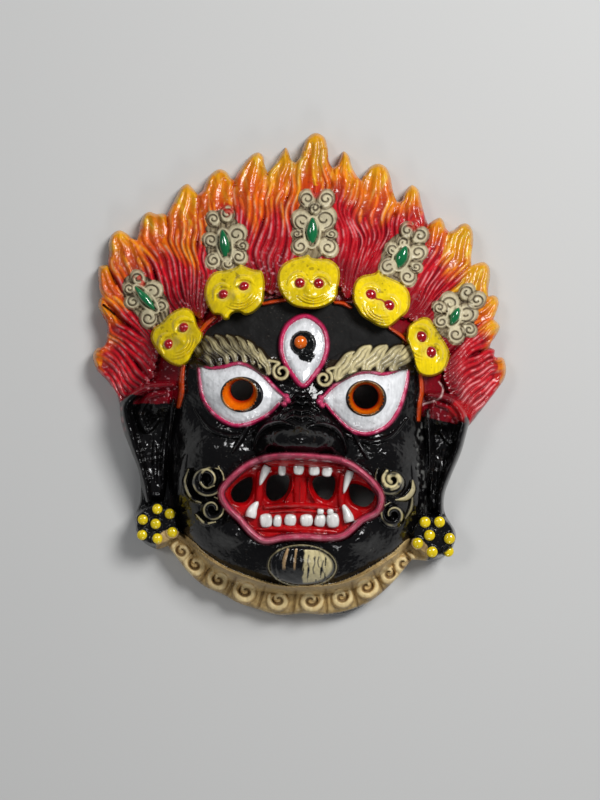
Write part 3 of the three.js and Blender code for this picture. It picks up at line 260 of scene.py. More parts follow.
ORNAMENTS = [
    dict(turn=0.75, gem=((-60.2, 25.8), 1.7, 6.2), red=(-62, 34),
         curls=[(-58, 28.6, 3.7, 1), (-65, 24.6, 2.8, -1), (-59, 18.6, 3.2, 1), (-54.6, 23.6, 2.6, -1),
                (-63.6, 33.4, 2.8, 1), (-66.6, 29.5, 2.2, 1)]),
    dict(turn=0.18, gem=((-31.4, 47.2), 2.1, 5.8), red=(-31, 61),
         curls=[(-27.2, 51.4, 3.6, -1), (-26, 43.2, 3, 1), (-36.6, 49, 2.8, 1), (-35.4, 41.4, 2.8, -1),
                (-36, 57, 2.6, 1), (-31, 59, 2.8, -1), (-24.8, 47.4, 2, -1), (-30, 40.4, 2.4, 1)]),
    dict(turn=0, gem=((1.3, 53.4), 2.3, 5.4), red=(2, 69.8),
         curls=[(5.6, 58.6, 4.2, -1), (-2.5, 57.6, 3.7, 1), (6, 66.2, 3.1, -1), (-1, 66, 3, 1),
                (7.6, 48, 3.4, 1), (-3, 48, 3, -1), (8.6, 53, 2, -1), (-4.4, 52.6, 1.8, 1),
                (2, 62.6, 2.2, 1)]),
    dict(turn=-0.35, gem=((35.3, 45.2), 2.4, 4.6), red=(40, 58.6),
         curls=[(41.4, 47.4, 3.2, -1), (42, 53.8, 3, 1), (38, 38.2, 3.2, 1), (32, 48.2, 2.6, 1),
                (30.6, 41.6, 3.2, -1), (37.2, 55.6, 2.8, -1), (36, 51, 2.4, 1), (41, 42, 2.2, -1)]),
    dict(turn=-0.42, gem=((56.1, 23.8), 1.9, 3.7), red=None,
         curls=[(60.6, 25.2, 3.7, -1), (54.4, 28.6, 3.8, 1), (60.6, 33.2, 2.9, 1), (64.4, 30.4, 3, -1),
                (57, 17.2, 3.2, 1), (51.4, 21.8, 2.6, -1), (62, 19.2, 2.6, 1), (50.4, 27, 2.4, 1)]),
]
EYES = [
    dict(hole=(-22.7, -7.1, 4.25, 3.9), ring=(-22.6, -8.65, 8.1, 6.75), cone=(-23.5, -8.7, 6.45, 6.0),
         upper=[(-39.6, 2.2), (-35, 0.9), (-30, 1.5), (-24, 3.1), (-17, 0.7), (-10, -5.8), (-6.2, -9)],
         lower=[(-39.4, 1.6), (-38.6, -4.6), (-37, -11), (-32, -17), (-25, -20.3), (-18, -18.9), (-12, -15.3),
                (-8.6, -11.6)]),
    dict(hole=(24.0, -7.6, 4.8, 4.6), ring=(24.2, -8.2, 7.7, 6.9), cone=(24.2, -8.2, 6.5, 6.1),
         upper=[(39.2, 4.4), (34, 2.2), (30, 1.2), (25, 1.9), (19, 0.6), (12, -3.9), (7.4, -9)],
         lower=[(39.6, 4), (39.4, -1), (38.5, -6), (36.3, -13), (32, -18.6), (25, -21.6), (19, -20.3),
                (13, -15.4), (9, -10.9)]),
]
DROP = [(0.3, -4.4), (4.4, 0), (7.6, 5.5), (8.6, 12), (6.4, 18.2), (0, 21.8), (-6.4, 18.2), (-8.6, 12),
        (-7.6, 5.5), (-4.2, 0)]
LIP = [(-28.9, -45.7), (-23.6, -38.6), (-17.9, -34.3), (-10.7, -31.8), (-2, -31), (7, -31.2), (16.4, -32.2),
       (22.9, -35.7), (28.6, -40.7), (31.4, -45.5), (30, -50.7), (24.3, -54.2), (17.9, -60), (11.4, -61.4),
       (3.6, -61.2), (-5, -62), (-12, -63.3), (-17, -60.4), (-21.8, -55.4), (-26.8, -50.7)]
MOUTH_HOLES = [
    [(-25.2, -46), (-23.6, -42.8), (-17.8, -39.6), (-17.6, -45), (-19.8, -48.9), (-23.8, -48.9)],
    [(-11.8, -41.4), (-10.4, -38.9), (-3.9, -38.6), (-3.9, -43.6), (-5.7, -46.4), (-9.3, -48.2),
     (-11.7, -46.4)],
    [(5.4, -40), (6.4, -38.6), (13.2, -38.3), (13.5, -43.6), (11.4, -46.9), (7.9, -45.7), (5.7, -42.5)],
    [(19.6, -40.9), (22.9, -40.8), (28.8, -44.1), (28, -47), (25.6, -48.9), (21.3, -48), (19.5, -45.1)],
]


def ring_of(u, v, across, up, count=64, turn=0.0):
    angle = np.arange(count) * 2 * math.pi / count
    x, y = across * np.cos(angle), up * np.sin(angle)
    return np.stack([u + x * math.cos(turn) - y * math.sin(turn),
                     v + x * math.sin(turn) + y * math.cos(turn)], 1)


skull_lines = [curve(s["outline"], 90, True) for s in SKULLS]
eye_lines = []
for eye in EYES:
    upper, lower = curve(eye["upper"], 50), curve(eye["lower"], 60)
    eye_lines.append(np.vstack([upper, lower[::-1][:-1]]))
drop_line = curve(DROP, 80, True)
lip_line = curve(LIP, 160, True)
holes = [spaced(curve(h, 60, True), 0.5, True) for h in MOUTH_HOLES]
holes += [ring_of(*eye["hole"], 56) for eye in EYES]

# Seams of the modelled skin, which don't show: the crown in two halves, the face, and the jaw.
right_start, left_start = FLAMES[-1][2], FIRST_VALLEY
crown_top = FLAMES[8][2]
SKIN_SEAMS = [spaced(seam, 0.6) for seam in (
    [left_start, (-47, -13), (-45, 2), (-36, 14), (-20, 25), (-13, 30)],
    [(-13, 30), (0, 33), (20, 25), (36, 14), (44, 2), (45, -14), right_start],
    [(-13, 30), (-10, 48), (-8, 64), crown_top],
    [(-60, -40), (-45, -31), (-20, -28.6), (0, -29.9), (20, -29), (45, -31), (57.4, -36)],
)]

corner_keys = {}
sheet_points, sheet_edges = [], []


def add_line(line, closed):
    """Adds a line of points that the skin must keep. A point that is there already is used again."""
    chain = []
    for point in line:
        key = (round(point[0], 2), round(point[1], 2))
        if key not in corner_keys:
            corner_keys[key] = len(sheet_points)
            sheet_points.append(tuple(point))
        chain.append(corner_keys[key])
    pairs = list(zip(chain, chain[1:] + chain[:1])) if closed else list(zip(chain, chain[1:]))
    sheet_edges.extend(pairs)


# The outline keeps its own corners, so that the seams can start from them.
corners = [FIRST_VALLEY, crown_top, right_start, (57.4, -36), (-60, -40)]
cuts = [int(np.argmin(np.linalg.norm(outline - np.array(c), axis=1))) for c in corners]
for cut, corner in zip(cuts, corners):
    outline[cut] = corner
cuts.sort()
pieces_of_line = []
for start, end in zip(cuts, cuts[1:] + [cuts[0] + len(outline)]):
    part = outline[np.arange(start, end + 1) % len(outline)]
    pieces_of_line.append(spaced(part, 0.5)[:-1])
outline = np.vstack(pieces_of_line)
add_line(outline, True)
for hole in holes:
    add_line(hole, True)
for seam in SKIN_SEAMS:
    add_line(seam, False)
fixed = len(sheet_points)
kept_edges = list(sheet_edges)

# Extra points on both sides of each crisp edge, and rings down the walls of the pupils.
crisp = []


def either_side(line, closed, gap=0.1, step=0.32):
    line = spaced(line, step, closed)
    ahead = np.roll(line, -1, axis=0) - np.roll(line, 1, axis=0) if closed else np.gradient(line, axis=0)
    side = np.stack([-ahead[:, 1], ahead[:, 0]], 1) / (np.linalg.norm(ahead, axis=1)[:, None] + 1e-9)
    crisp.extend([line + side * gap, line - side * gap])


for line in [*skull_lines, *eye_lines, drop_line]:
    either_side(line, True)
for gap in (0.83, 0.95):
    either_side(lip_line, True, gap)
for eye in EYES:
    u, v, across, up = eye["ring"]
    either_side(ring_of(u, v, across, up, 120), True)
    for step in (0, 0.35, 0.7):
        crisp.append(ring_of(*mix(np.array(eye["cone"]), np.array(eye["hole"]), step), 110))
crisp = np.vstack(crisp)
inside = depth_in(outline, crisp[:, 0], crisp[:, 1]) > 0.25
for hole in holes:
    inside &= depth_in(hole, crisp[:, 0], crisp[:, 1]) < -0.2
crisp = crisp[inside]

# The rest of the sheet is filled evenly, away from the points that are there.
columns, rows = int(166 / FINE), int(188 / (FINE * 0.866))
grid_u, grid_v = np.meshgrid(np.arange(columns) * FINE - 83, np.arange(rows) * FINE * 0.866 - 94)
grid_u = grid_u + (np.arange(rows) % 2)[:, None] * FINE / 2
filler = np.stack([grid_u.ravel(), grid_v.ravel()], 1)
filler = filler + dice.uniform(-0.03, 0.03, filler.shape)
taken = np.zeros((1700, 1900), bool)
for point in np.vstack([np.array(sheet_points), crisp]):
    i, j = int((point[0] + 85) * 10), int((point[1] + 95) * 10)
    taken[i - 1:i + 3, j - 1:j + 3] = True
cell = ((filler + (85, 95)) * 10).astype(int)
filler = filler[~taken[cell[:, 0], cell[:, 1]]]
depth = depth_near(outline, filler[:, 0], filler[:, 1])
filler = filler[depth > 0.2]
for hole in holes:
    filler = filler[depth_near(hole, filler[:, 0], filler[:, 1]) < -0.12]
sheet = np.vstack([np.array(sheet_points), crisp, filler])
U, V = sheet[:, 0].copy(), sheet[:, 1].copy()
base = plain(U, V)
rise = np.zeros(len(U))
crest = np.full(len(U), 0.5)
shine = np.full(len(U), 0.22)

CRIMSON, RED, HIGHLIGHT_PINK = srgb(118, 3, 20), srgb(200, 18, 34), srgb(238, 158, 160)
ORANGE, GOLD, BLACK = srgb(232, 104, 6), srgb(222, 160, 12), srgb(11, 10, 11)
paint = np.tile(BLACK, (len(U), 1))


def window(low_u, low_v, high_u, high_v):
    return np.flatnonzero((U > low_u) & (U < high_u) & (V > low_v) & (V < high_v))


def near_line(line, half):
    """The points within a stroke along a line, with how far out and along and on which side each lies."""
    line = np.asarray(line, float)
    half = np.broadcast_to(np.asarray(half, float), len(line))
    low, high = line.min(0) - half.max(), line.max(0) + half.max()
    w = window(*low, *high)
    best, along, side = np.full(len(w), np.inf), np.zeros(len(w)), np.zeros(len(w))
    for k in range(len(line) - 1):
        (au, av), (bu, bv) = line[k], line[k + 1]
        du, dv = bu - au, bv - av
        ru, rv = U[w] - au, V[w] - av
        share = np.clip((ru * du + rv * dv) / (du * du + dv * dv + 1e-12), 0, 1)
        out = np.hypot(ru - share * du, rv - share * dv) / mix(half[k], half[k + 1], share)
        hit = out < best
        best[hit] = out[hit]
        along[hit] = (k + share[hit]) / (len(line) - 1)
        side[hit] = np.sign(du * rv[hit] - dv * ru[hit])
    keep = best < 1
    return w[keep], best[keep], along[keep], side[keep] * best[keep]


def lift(w, height):
    """Raises the points that lie lower than that, and says which ones they are."""
    higher = height > rise[w]
    rise[w[higher]] = height[higher]
    return higher


def coat(w, weight, colour, gloss=None):
    weight = np.clip(np.broadcast_to(np.asarray(weight, float), len(w)), 0, 1)
    paint[w] = mix(paint[w], colour, weight[:, None])
    if gloss is not None:
        shine[w] = mix(shine[w], gloss, weight)


def graded_coat(w, light, dark, share, gloss=None):
    """Full paint that runs from one colour to another."""
    coat(w, 1, mix(light, dark, np.clip(share, 0, 1)[:, None]), gloss)


def stroke(points, width, height, level=0.0, start=0.3, end=0.3, count=None, closed=False):
    """A rounded stroke. Returns the points that it raised, with how far out and along they lie."""
    count = count or max(8, 5 * len(points))
    line = curve(points, count, closed)
    if closed:
        line = np.vstack([line, line[:1]])
    t = np.linspace(0, 1, len(line))
    tapered = mix(np.where(t < 0.5, start, end), 1, np.sin(np.minimum(t, 1 - t) * math.pi))
    full = np.ones(len(line)) if closed else tapered
    w, out, along, side = near_line(line, width / 2 * full)
    high = level + height * np.interp(along, t, full) * np.sqrt(1 - out ** 2)
    hit = lift(w, high)
    return w[hit], out[hit], along[hit], side[hit]


def boss(line, height, edge=1.0, dome=0.0):
    """A raised plate over an outline. Returns its points and how deep inside they lie."""
    line = np.asarray(line, float)
    w = window(*(line.min(0) - 0.1), *(line.max(0) + 0.1))
    depth = depth_in(line, U[w], V[w])
    w, depth = w[depth > 0], depth[depth > 0]
    climb = np.sin(np.minimum(depth / edge, 1) * math.pi / 2)
    swell = np.sqrt(1 - (1 - np.minimum(depth / (depth.max() + 1e-6), 1)) ** 2)
    lift(w, height * climb + dome * swell)
    return w, depth


def engrave(points, width, deep, colour, count=None, strength=0.9):
    """A groove cut along a curve and painted dark inside, as painted shade."""
    line = curve(points, count or 5 * len(points))
    t = np.linspace(0, 1, len(line))
    w, out, along, side = near_line(line, width / 2 * (0.45 + 0.55 * np.sin(t * math.pi) ** 0.5))
    rise[w] -= deep * (1 - out ** 2)
    coat(w, strength * (1 - out ** 2), colour)


# Crown: a fan of cast flames over a dark crimson ground. Wavy strands run together into each tip, and their
# crests are dry-brushed by hand in red and pale pink, then orange and yellow towards the tips. The pale pink
# and yellow along the crests are partly painted highlight, and the darker groove colours are painted shade.
CROWN_FOOT = [(-47, -13), (-45, 2), (-36, 16), (-20, 27), (0, 30), (20, 27), (36, 16), (44, 2), (45, -14)]
crown_ground = np.vstack([[left_start], CROWN_FOOT, [right_start, (90, 20), (60, 95), (-60, 95), (-90, 20)]])
in_crown = depth_near(crown_ground, U, V) > 0
everywhere = np.arange(len(U))
coat(everywhere, in_crown, CRIMSON, 0.25)
# Where each tongue turns orange and then yellow, from 0 at the skulls to 1 at its tip.
TURNS = [(0.75, 1.1), (0.6, 1.0), (0.5, 0.92), (0.56, 0.86), (0.55, 0.86), (0.42, 0.84), (0.5, 0.9),
         (0.52, 0.86), (0.55, 0.8), (0.5, 0.78), (0.66, 0.86), (0.62, 0.86), (0.74, 0.93), (0.72, 0.95),
         (0.56, 0.66), (0.42, 0.5), (0.5, 0.8), (0.66, 0.86), (0.85, 0.97)]


def brushed(w, wide, long, shift=0):
    """Streaks of the brush, which ran outwards along the flames."""
    around = np.arctan2(U[w], V[w] + 12) * 75
    return noise(around + 1.2 * noise(U[w], V[w], 7, 2), np.hypot(U[w], V[w] + 12) * wide / long, wide, shift)


def flame_colour(w, t, turn, gold, pale_and_highlight):
    """Colours of a strand's groove and crest. The groove colours are darker, for painted shade, and the pale
    colour on the crest is partly painted highlight.
    """
    t = t + 0.22 * (brushed(w, 1.6, 14) - 0.5)
    heat, glow = smooth(t, turn - 0.13, turn + 0.1)[:, None], smooth(t, gold - 0.2, gold + 0.1)[:, None]
    streak = smooth(brushed(w, 0.9, 9, 5), 0.45, 0.8)[:, None]
    groove = mix(mix(CRIMSON, srgb(176, 40, 6), heat), srgb(196, 96, 4), glow)
    hot = mix(ORANGE, srgb(238, 150, 20), streak * 0.7)
    top = mix(mix(RED, hot, heat), mix(GOLD, srgb(236, 196, 40), streak * 0.6), glow)
    light = mix(mix(HIGHLIGHT_PINK, srgb(250, 190, 130), heat), srgb(246, 224, 130), glow)
    return groove, mix(top, light, np.clip(pale_and_highlight, 0, 1)[:, None])


for number, (left, right, share) in enumerate(flame_sides):
    turn, gold = TURNS[number]
    body = np.vstack([left, right[::-1][1:]])
    w, depth = boss(body, 1.5, edge=1.5, dome=1.5)
    t = np.linspace(0, 1, 48)

    def follow(side, at):
        ways = np.linspace(0, 1, len(side))
        return np.stack([np.interp(at, ways, side[:, 0]), np.interp(at, ways, side[:, 1])], 1)

    # How far along the tongue each point lies: the nearest of a few points up its middle.
    spine = (follow(left, t) + follow(right, t)) / 2
    gap = (U[w][:, None] - spine[:, 0]) ** 2 + (V[w][:, None] - spine[:, 1]) ** 2
    along = t[np.argmin(gap, axis=1)]
    groove, top = flame_colour(w, along, turn, gold, 0.5 * smooth(brushed(w, 0.7, 5, 9), 0.7, 0.95))
    coat(w, 1, mix(groove, top, (0.25 + smooth(along, 0.6, 0.85) * 0.7)[:, None]))
    rim_light = (1 - smooth(depth, 0.6, 2.0)) * smooth(along, share, min(1, share + 0.2))
    coat(w, rim_light * 0.5, srgb(226, 150, 20))
    t = np.linspace(0, 1, 34)
    left_at, right_at = follow(left, t), follow(right, t)
    cross = right_at - left_at
    span = np.linalg.norm(cross, axis=1)
    strands = max(3, round(span[len(t) // 2] / (2.25 if number < 10 else 2.0)))
    free = 1 - smooth(t, share * 0.9, min(1, share + 0.25))
    height_at = (left_at[:, 1] + right_at[:, 1]) / 2
    wave = 0.8 * np.sin(2 * math.pi * height_at / 19 + 0.35 * number)
    wave = (wave + 0.3 * np.sin(height_at / 1.9 + number)) * free
    for strand in range(strands):
        s = (strand + 0.5 + dice.uniform(-0.12, 0.12)) / strands
        ripple = 0.2 * np.sin(t * dice.uniform(14, 24) + dice.uniform(0, 6)) * free
        line = left_at + cross * s + (wave + ripple)[:, None] * cross / (span[:, None] + 1e-6)
        last = int(len(t) * dice.uniform(0.66, 0.88))
        width = np.maximum(span / strands * 1.3, 0.9)[:last]
        tall = dice.uniform(0.95, 1.35)
        w, out, along, side = near_line(line[:last], width / 2)
        fade = (1 - smooth(along, 0.62, 1)) * smooth(along, -0.05, 0.08)
        along = along * last / len(t)
        dome = 1.5 + 1.5 * np.clip(np.interp(along, t, span) / 9, 0, 1)
        hit = lift(w, dome - 0.45 + (tall + 0.3) * fade * (0.5 + 0.5 * np.cos(math.pi * out)))
        w, out, along, side = w[hit], out[hit], along[hit], side[hit]
        brush = noise(along * 17 + 3.7 * strand, along * 0 + number, 1.0) + 0.45 * noise(U[w], V[w], 0.55, 4)
        # Pale dry-brush along each crest, partly painted highlight.
        pale_and_highlight = 0.75 * smooth(brush, 0.55, 1.1) * (1 - smooth(np.abs(side - 0.15), 0.06, 0.36))
        pale_and_highlight = pale_and_highlight * (1 - 0.6 * smooth(along, 0.55, 0.8)) * smooth(along, 0, 0.2)
        groove, top = flame_colour(w, along + 0.05 * (dice.random() - 0.5), turn, gold, pale_and_highlight)
        # Painted shade: the strands' sides take the groove colour, and so do their roots by the skulls, as
        # painted shadow under them.
        darker_share = np.maximum(smooth(out, 0.25, 0.8), 0.85 * (1 - smooth(along, 0.06, 0.36)))
        darker_share = darker_share * (1 - 0.55 * smooth(along, 0.5, 0.8))
        paint[w] = mix(top, groove, darker_share[:, None])
        crest[w] = np.maximum(1 - 0.8 * out, smooth(along, 0.5, 0.8))
        shine[w] = 0.26
    ridges = 3 if strands > 3 else 2
    for ridge in range(ridges):
        s = (ridge + 0.5 + dice.uniform(-0.12, 0.12)) / ridges
        first = int(len(t) * dice.uniform(0.52, 0.66))
        line = (left_at + cross * s)[first:-2]
        width = np.maximum(span[first:-2] / ridges * 0.95, 0.8)
        w, out, along, side = near_line(line, width / 2)
        fade = np.sin(np.clip(along, 0, 1) * math.pi) ** 0.6
        rise[w] += 0.75 * fade * (0.5 + 0.5 * np.cos(math.pi * out))
        # Painted shade: darker orange down the sides of these ridges.
        coat(w, 0.35 * fade * smooth(out, 0.6, 1), srgb(190, 70, 6))
# The bright red patch and pale scratched line at the right end of the crown, and the slit at its left end.
w = window(55, -18, 66, -7)
patch = depth_in(np.array([(56, -10), (58.5, -7.5), (61, -8), (64.5, -13.5), (63.4, -17.2), (60.4, -14)]),
                 U[w], V[w])
coat(w, smooth(patch, -0.3, 0.8), srgb(206, 14, 34), 0.2)
w, out, _, _ = near_line(curve([(45, -9.6), (49, -8.4), (52, -7), (53, -3), (51.4, -1)], 24), 0.5)
coat(w, (1 - out) * (noise(U[w], V[w], 0.8, 12) > 0.25), srgb(232, 200, 196))
w, out, _, _ = near_line(curve([(-76.2, 22.9), (-74, 21.4), (-71.8, 19.6)], 12), 0.5)
rise[w] -= 2.0 * (1 - out ** 2)
# The slit is painted near black inside: painted shade.
coat(w, 1 - out ** 2, srgb(40, 4, 8))
# Pale specks of dry paint in the ground near the skulls.
specks = (noise(U, V, 0.75, 21) > 0.8) & in_crown & (noise(U, V, 9, 5) > 0.35)
nearness = smooth(-np.hypot(U / 44, (V + 6) / 40), -1.45, -1.15)
coat(everywhere, specks * nearness * 0.7, srgb(214, 150, 158))

# Leaf ornaments: silvery scrolls on a low plate behind each skull, round a green stone. They are cast with
# the crown and painted dull silver in rubbed patches, darker at the edges of the plates, leaves and rims
# and dark in the cuts, which is painted shade.
SILVER, PEWTER, SHADE = srgb(206, 194, 160), srgb(150, 134, 104), srgb(66, 48, 34)


def coil(u, v, radius, angle, stretch=1.0):
    """Points of a scroll, given how far from its middle and at which angle each lies."""
    return np.stack([u + stretch * radius * np.cos(angle), v + radius * np.sin(angle)], 1)


for ornament in ORNAMENTS:
    turn, (gem_at, gem_half, gem_long) = ornament["turn"], ornament["gem"]
    discs = [ring_of(u, v, radius * 1.12, radius * 1.12, 28) for u, v, radius, _ in ornament["curls"]]
    spots_at = np.array([curl[:2] for curl in ornament["curls"]])
    webs = [ring_of(*mix(np.array(gem_at), spot, 0.6), 3, 3, 24) for spot in spots_at]
    for number, spot in enumerate(spots_at):
        near = spots_at[number + 1:]
        near = near[np.hypot(*(near - spot).T) < 9.5]
        webs += [ring_of(*mix(spot, other, 0.5), 2.5, 2.5, 24) for other in near]
    for plate in [ring_of(*gem_at, gem_half + 5.2, gem_long + 5.0, 28, turn), *discs, *webs]:
        w, depth = boss(plate, 2.8, edge=0.9, dome=0.5)
        # Painted shade: each plate darkens towards its edge, with random patches.
        graded_coat(w, SHADE, PEWTER, smooth(depth + 0.9 * (noise(U[w], V[w], 1.4, 3) - 0.5), 0, 0.8), 0.4)
        crest[w] = 0.35
    leaves = []
    for number, (u, v, radius, way) in enumerate(ornament["curls"]):
        out_way = math.atan2(v - gem_at[1], u - gem_at[0])
        leaf = ring_of(u, v, radius * 1.3, radius * 1.1, 30, out_way)
        leaves.append(leaf)
        w, depth = boss(leaf, 3.1 + 0.25 * (number % 3), edge=0.8, dome=1.6)
        # Painted shade: each leaf darkens towards its edge, with random patches.
        darker_share = np.clip(1 - depth / 1.1, 0, 1) + 0.5 * (noise(U[w], V[w], 1.2, 6) - 0.5)
        graded_coat(w, SILVER, PEWTER, darker_share, 0.34)
        crest[w] = 0.9
        share = np.linspace(0, 1, 14)
        angle = out_way + way * (2.4 + 0.3 * math.sin(number * 2.3)) - way * share * 1.25 * 2 * math.pi
        engrave(coil(u, v, radius * mix(0.86, 0.2, share ** 0.85), angle, 1.1), 0.85, 0.95, SHADE, 60)
    for leaf in leaves:
        engrave(leaf[4:27], 0.6, 0.5, SHADE, 60, 0.7)
    rim = ring_of(*gem_at, gem_half + 0.7, gem_long + 0.5, 24, turn)
    w, out, along, side = stroke(rim, 1.3, 1.5, 3.2, count=40, closed=True)
    # Painted shade: the rim darkens towards its edges.
    graded_coat(w, SILVER, PEWTER, smooth(out, 0.5, 1), 0.33)
    w = window(gem_at[0] - 20, gem_at[1] - 24, gem_at[0] + 20, gem_at[1] + 24)
    if ornament["red"] is not None:
        far = np.hypot(U[w] - ornament["red"][0], V[w] - ornament["red"][1])
        red = (1 - smooth(far + 2 * noise(U[w], V[w], 2, 2), 2.6, 4.4)) * 0.85
        coat(w, red * (noise(U[w], V[w], 1.4, 8) > 0.3), srgb(196, 34, 22))

# Skulls: five flat domes with steep edges, cast with the crown, each with a faint smiling face. They are
# painted yellow, darker ochre towards the rim and in the creases as painted shade, with random patches.
YELLOW = srgb(238, 208, 8)
SKULL_HEIGHT = 6.4
SKULL_EDGE, SKULL_DOME = 0.7, 1.5
SOCKET_DEPTH = 1.3
for number, (skull, line) in enumerate(zip(SKULLS, skull_lines)):
    (au, av), (bu, bv) = skull["eyes"]
    middle = np.array([(au + bu) / 2, (av + bv) / 2])
    across = np.array([bu - au, bv - av]) / math.hypot(bu - au, bv - av)
    down = np.array([across[1], -across[0]])
    w, depth = boss(line, SKULL_HEIGHT - 0.6, SKULL_EDGE, SKULL_DOME)
    ochre = srgb(190, 152, 8)
    # Painted shade: darker ochre towards the rim, with random patches.
    edge = np.clip(1 - depth / 1.6, 0, 1) * 0.35 + 0.35 * (noise(U[w], V[w], 5, number) - 0.5)
    graded_coat(w, YELLOW, ochre, edge, 0.2)
    crest[w] = 0.75
    place = lambda x, y: middle + across * x + down * y
    # Brow, sockets, nose, cheeks and the wrinkles round the mouth.
    for side in (-1, 1):
        points = [place(side * 8.2, 0.6), place(side * 6.4, -2.6), place(side * 3.4, -3.6),
                  place(side * 0.8, -1.6)]
        stroke(points, 2.4, 1.3, SKULL_HEIGHT + 0.3, 0.4, 0.6)
    w = window(*(middle - 12), *(middle + 12))
    x = (U[w] - middle[0]) * across[0] + (V[w] - middle[1]) * across[1]
    y = (U[w] - middle[0]) * down[0] + (V[w] - middle[1]) * down[1]
    apart = math.hypot(bu - au, bv - av) / 2
    for side in (-1, 1):
        socket = np.exp(-(((x - side * apart) / 2.6) ** 2 + (y / 2.4) ** 2))
        rise[w] -= SOCKET_DEPTH * socket
        halo = smooth(socket, 0.3, 0.55) * (0.7 + 0.3 * noise(U[w], V[w], 1.2, 6))
        coat(w, halo * 0.6, srgb(240, 226, 120))
    nose = np.exp(-((x / 1.5) ** 2 + ((y - 2.2) / 2.2) ** 2))
    rise[w] += 1.2 * nose
    for ring, size in enumerate((4.4, 5.6, 6.8)):
        lean = 1.6 if number in (1, 2, 3) else -1.2
        angle = np.linspace(0.35, 2.5, 9) + 0.12 * ring
        points = [place(lean + size * math.cos(a) * 1.05, 1.6 + size * math.sin(a) * 0.82) for a in angle]
        line_w, out, along, _ = near_line(curve(points, 24), 0.55)
        rise[line_w] += 0.6 * (1 - out ** 2) * np.sin(np.clip(along, 0, 1) * math.pi)
        # The crease under each wrinkle is cut in and painted darker ochre: painted shade.
        line_w, out, along, _ = near_line(curve(points, 24) + down * 0.62, 0.4)
        rise[line_w] -= 0.4 * (1 - out ** 2) * np.sin(np.clip(along, 0, 1) * math.pi)
        coat(line_w, 0.45 * (1 - out), ochre)
    # A faint mark over the nose.
    mark = (noise(U[w], V[w], 1.1, 17) > 0.78) & (np.hypot(x, y + 3) < 4.5)
    coat(w, mark * 0.55, srgb(120, 96, 10))
# The red thread of paint between the fourth skull's eyes.
(au, av), (bu, bv) = SKULLS[3]["eyes"]
line_w, out, along, _ = near_line(np.array([(au, av), (26.6, 29.4), (28.6, 29.1), (bu, bv)]), 0.34)
coat(line_w, 1 - out ** 4, srgb(150, 10, 14))
notch_w = window(-30, 17, -21, 22.6)
coat(notch_w, smooth(-depth_in(skull_lines[1], U[notch_w], V[notch_w]), 0, 0.3), BLACK)

# Straps: low cast bands between the skulls and down the temples, where the crown's fillet shows. They are
# painted a thin orange, darker towards their edges as painted shade.
STRAP = srgb(196, 66, 16)
STRAP_HEIGHT = 1.7
for points, width in [([(-39, 14.5), (-37, 17.4), (-34, 20)], 2.2),
                      ([(-16, 25.8), (-12, 26.8), (-7, 27.8)], 1.7),
                      ([(11, 27.4), (14, 27.2), (17, 25.8)], 1.7),
                      ([(32, 18.6), (36, 16.2), (39, 13.7)], 1.7),
                      ([(-45.2, 1.5), (-45.6, -4), (-45.4, -9), (-46.4, -14)], 2.4),
                      ([(44.4, 1.5), (45, -5), (44.4, -10), (44.2, -15.5)], 2.2)]:
    w, out, along, side = stroke(points, width, STRAP_HEIGHT, 0.3, 0.8, 0.8)
    # Painted shade: darker towards the strap's edges.
    graded_coat(w, STRAP, srgb(110, 30, 8), smooth(out, 0.5, 1), 0.25)

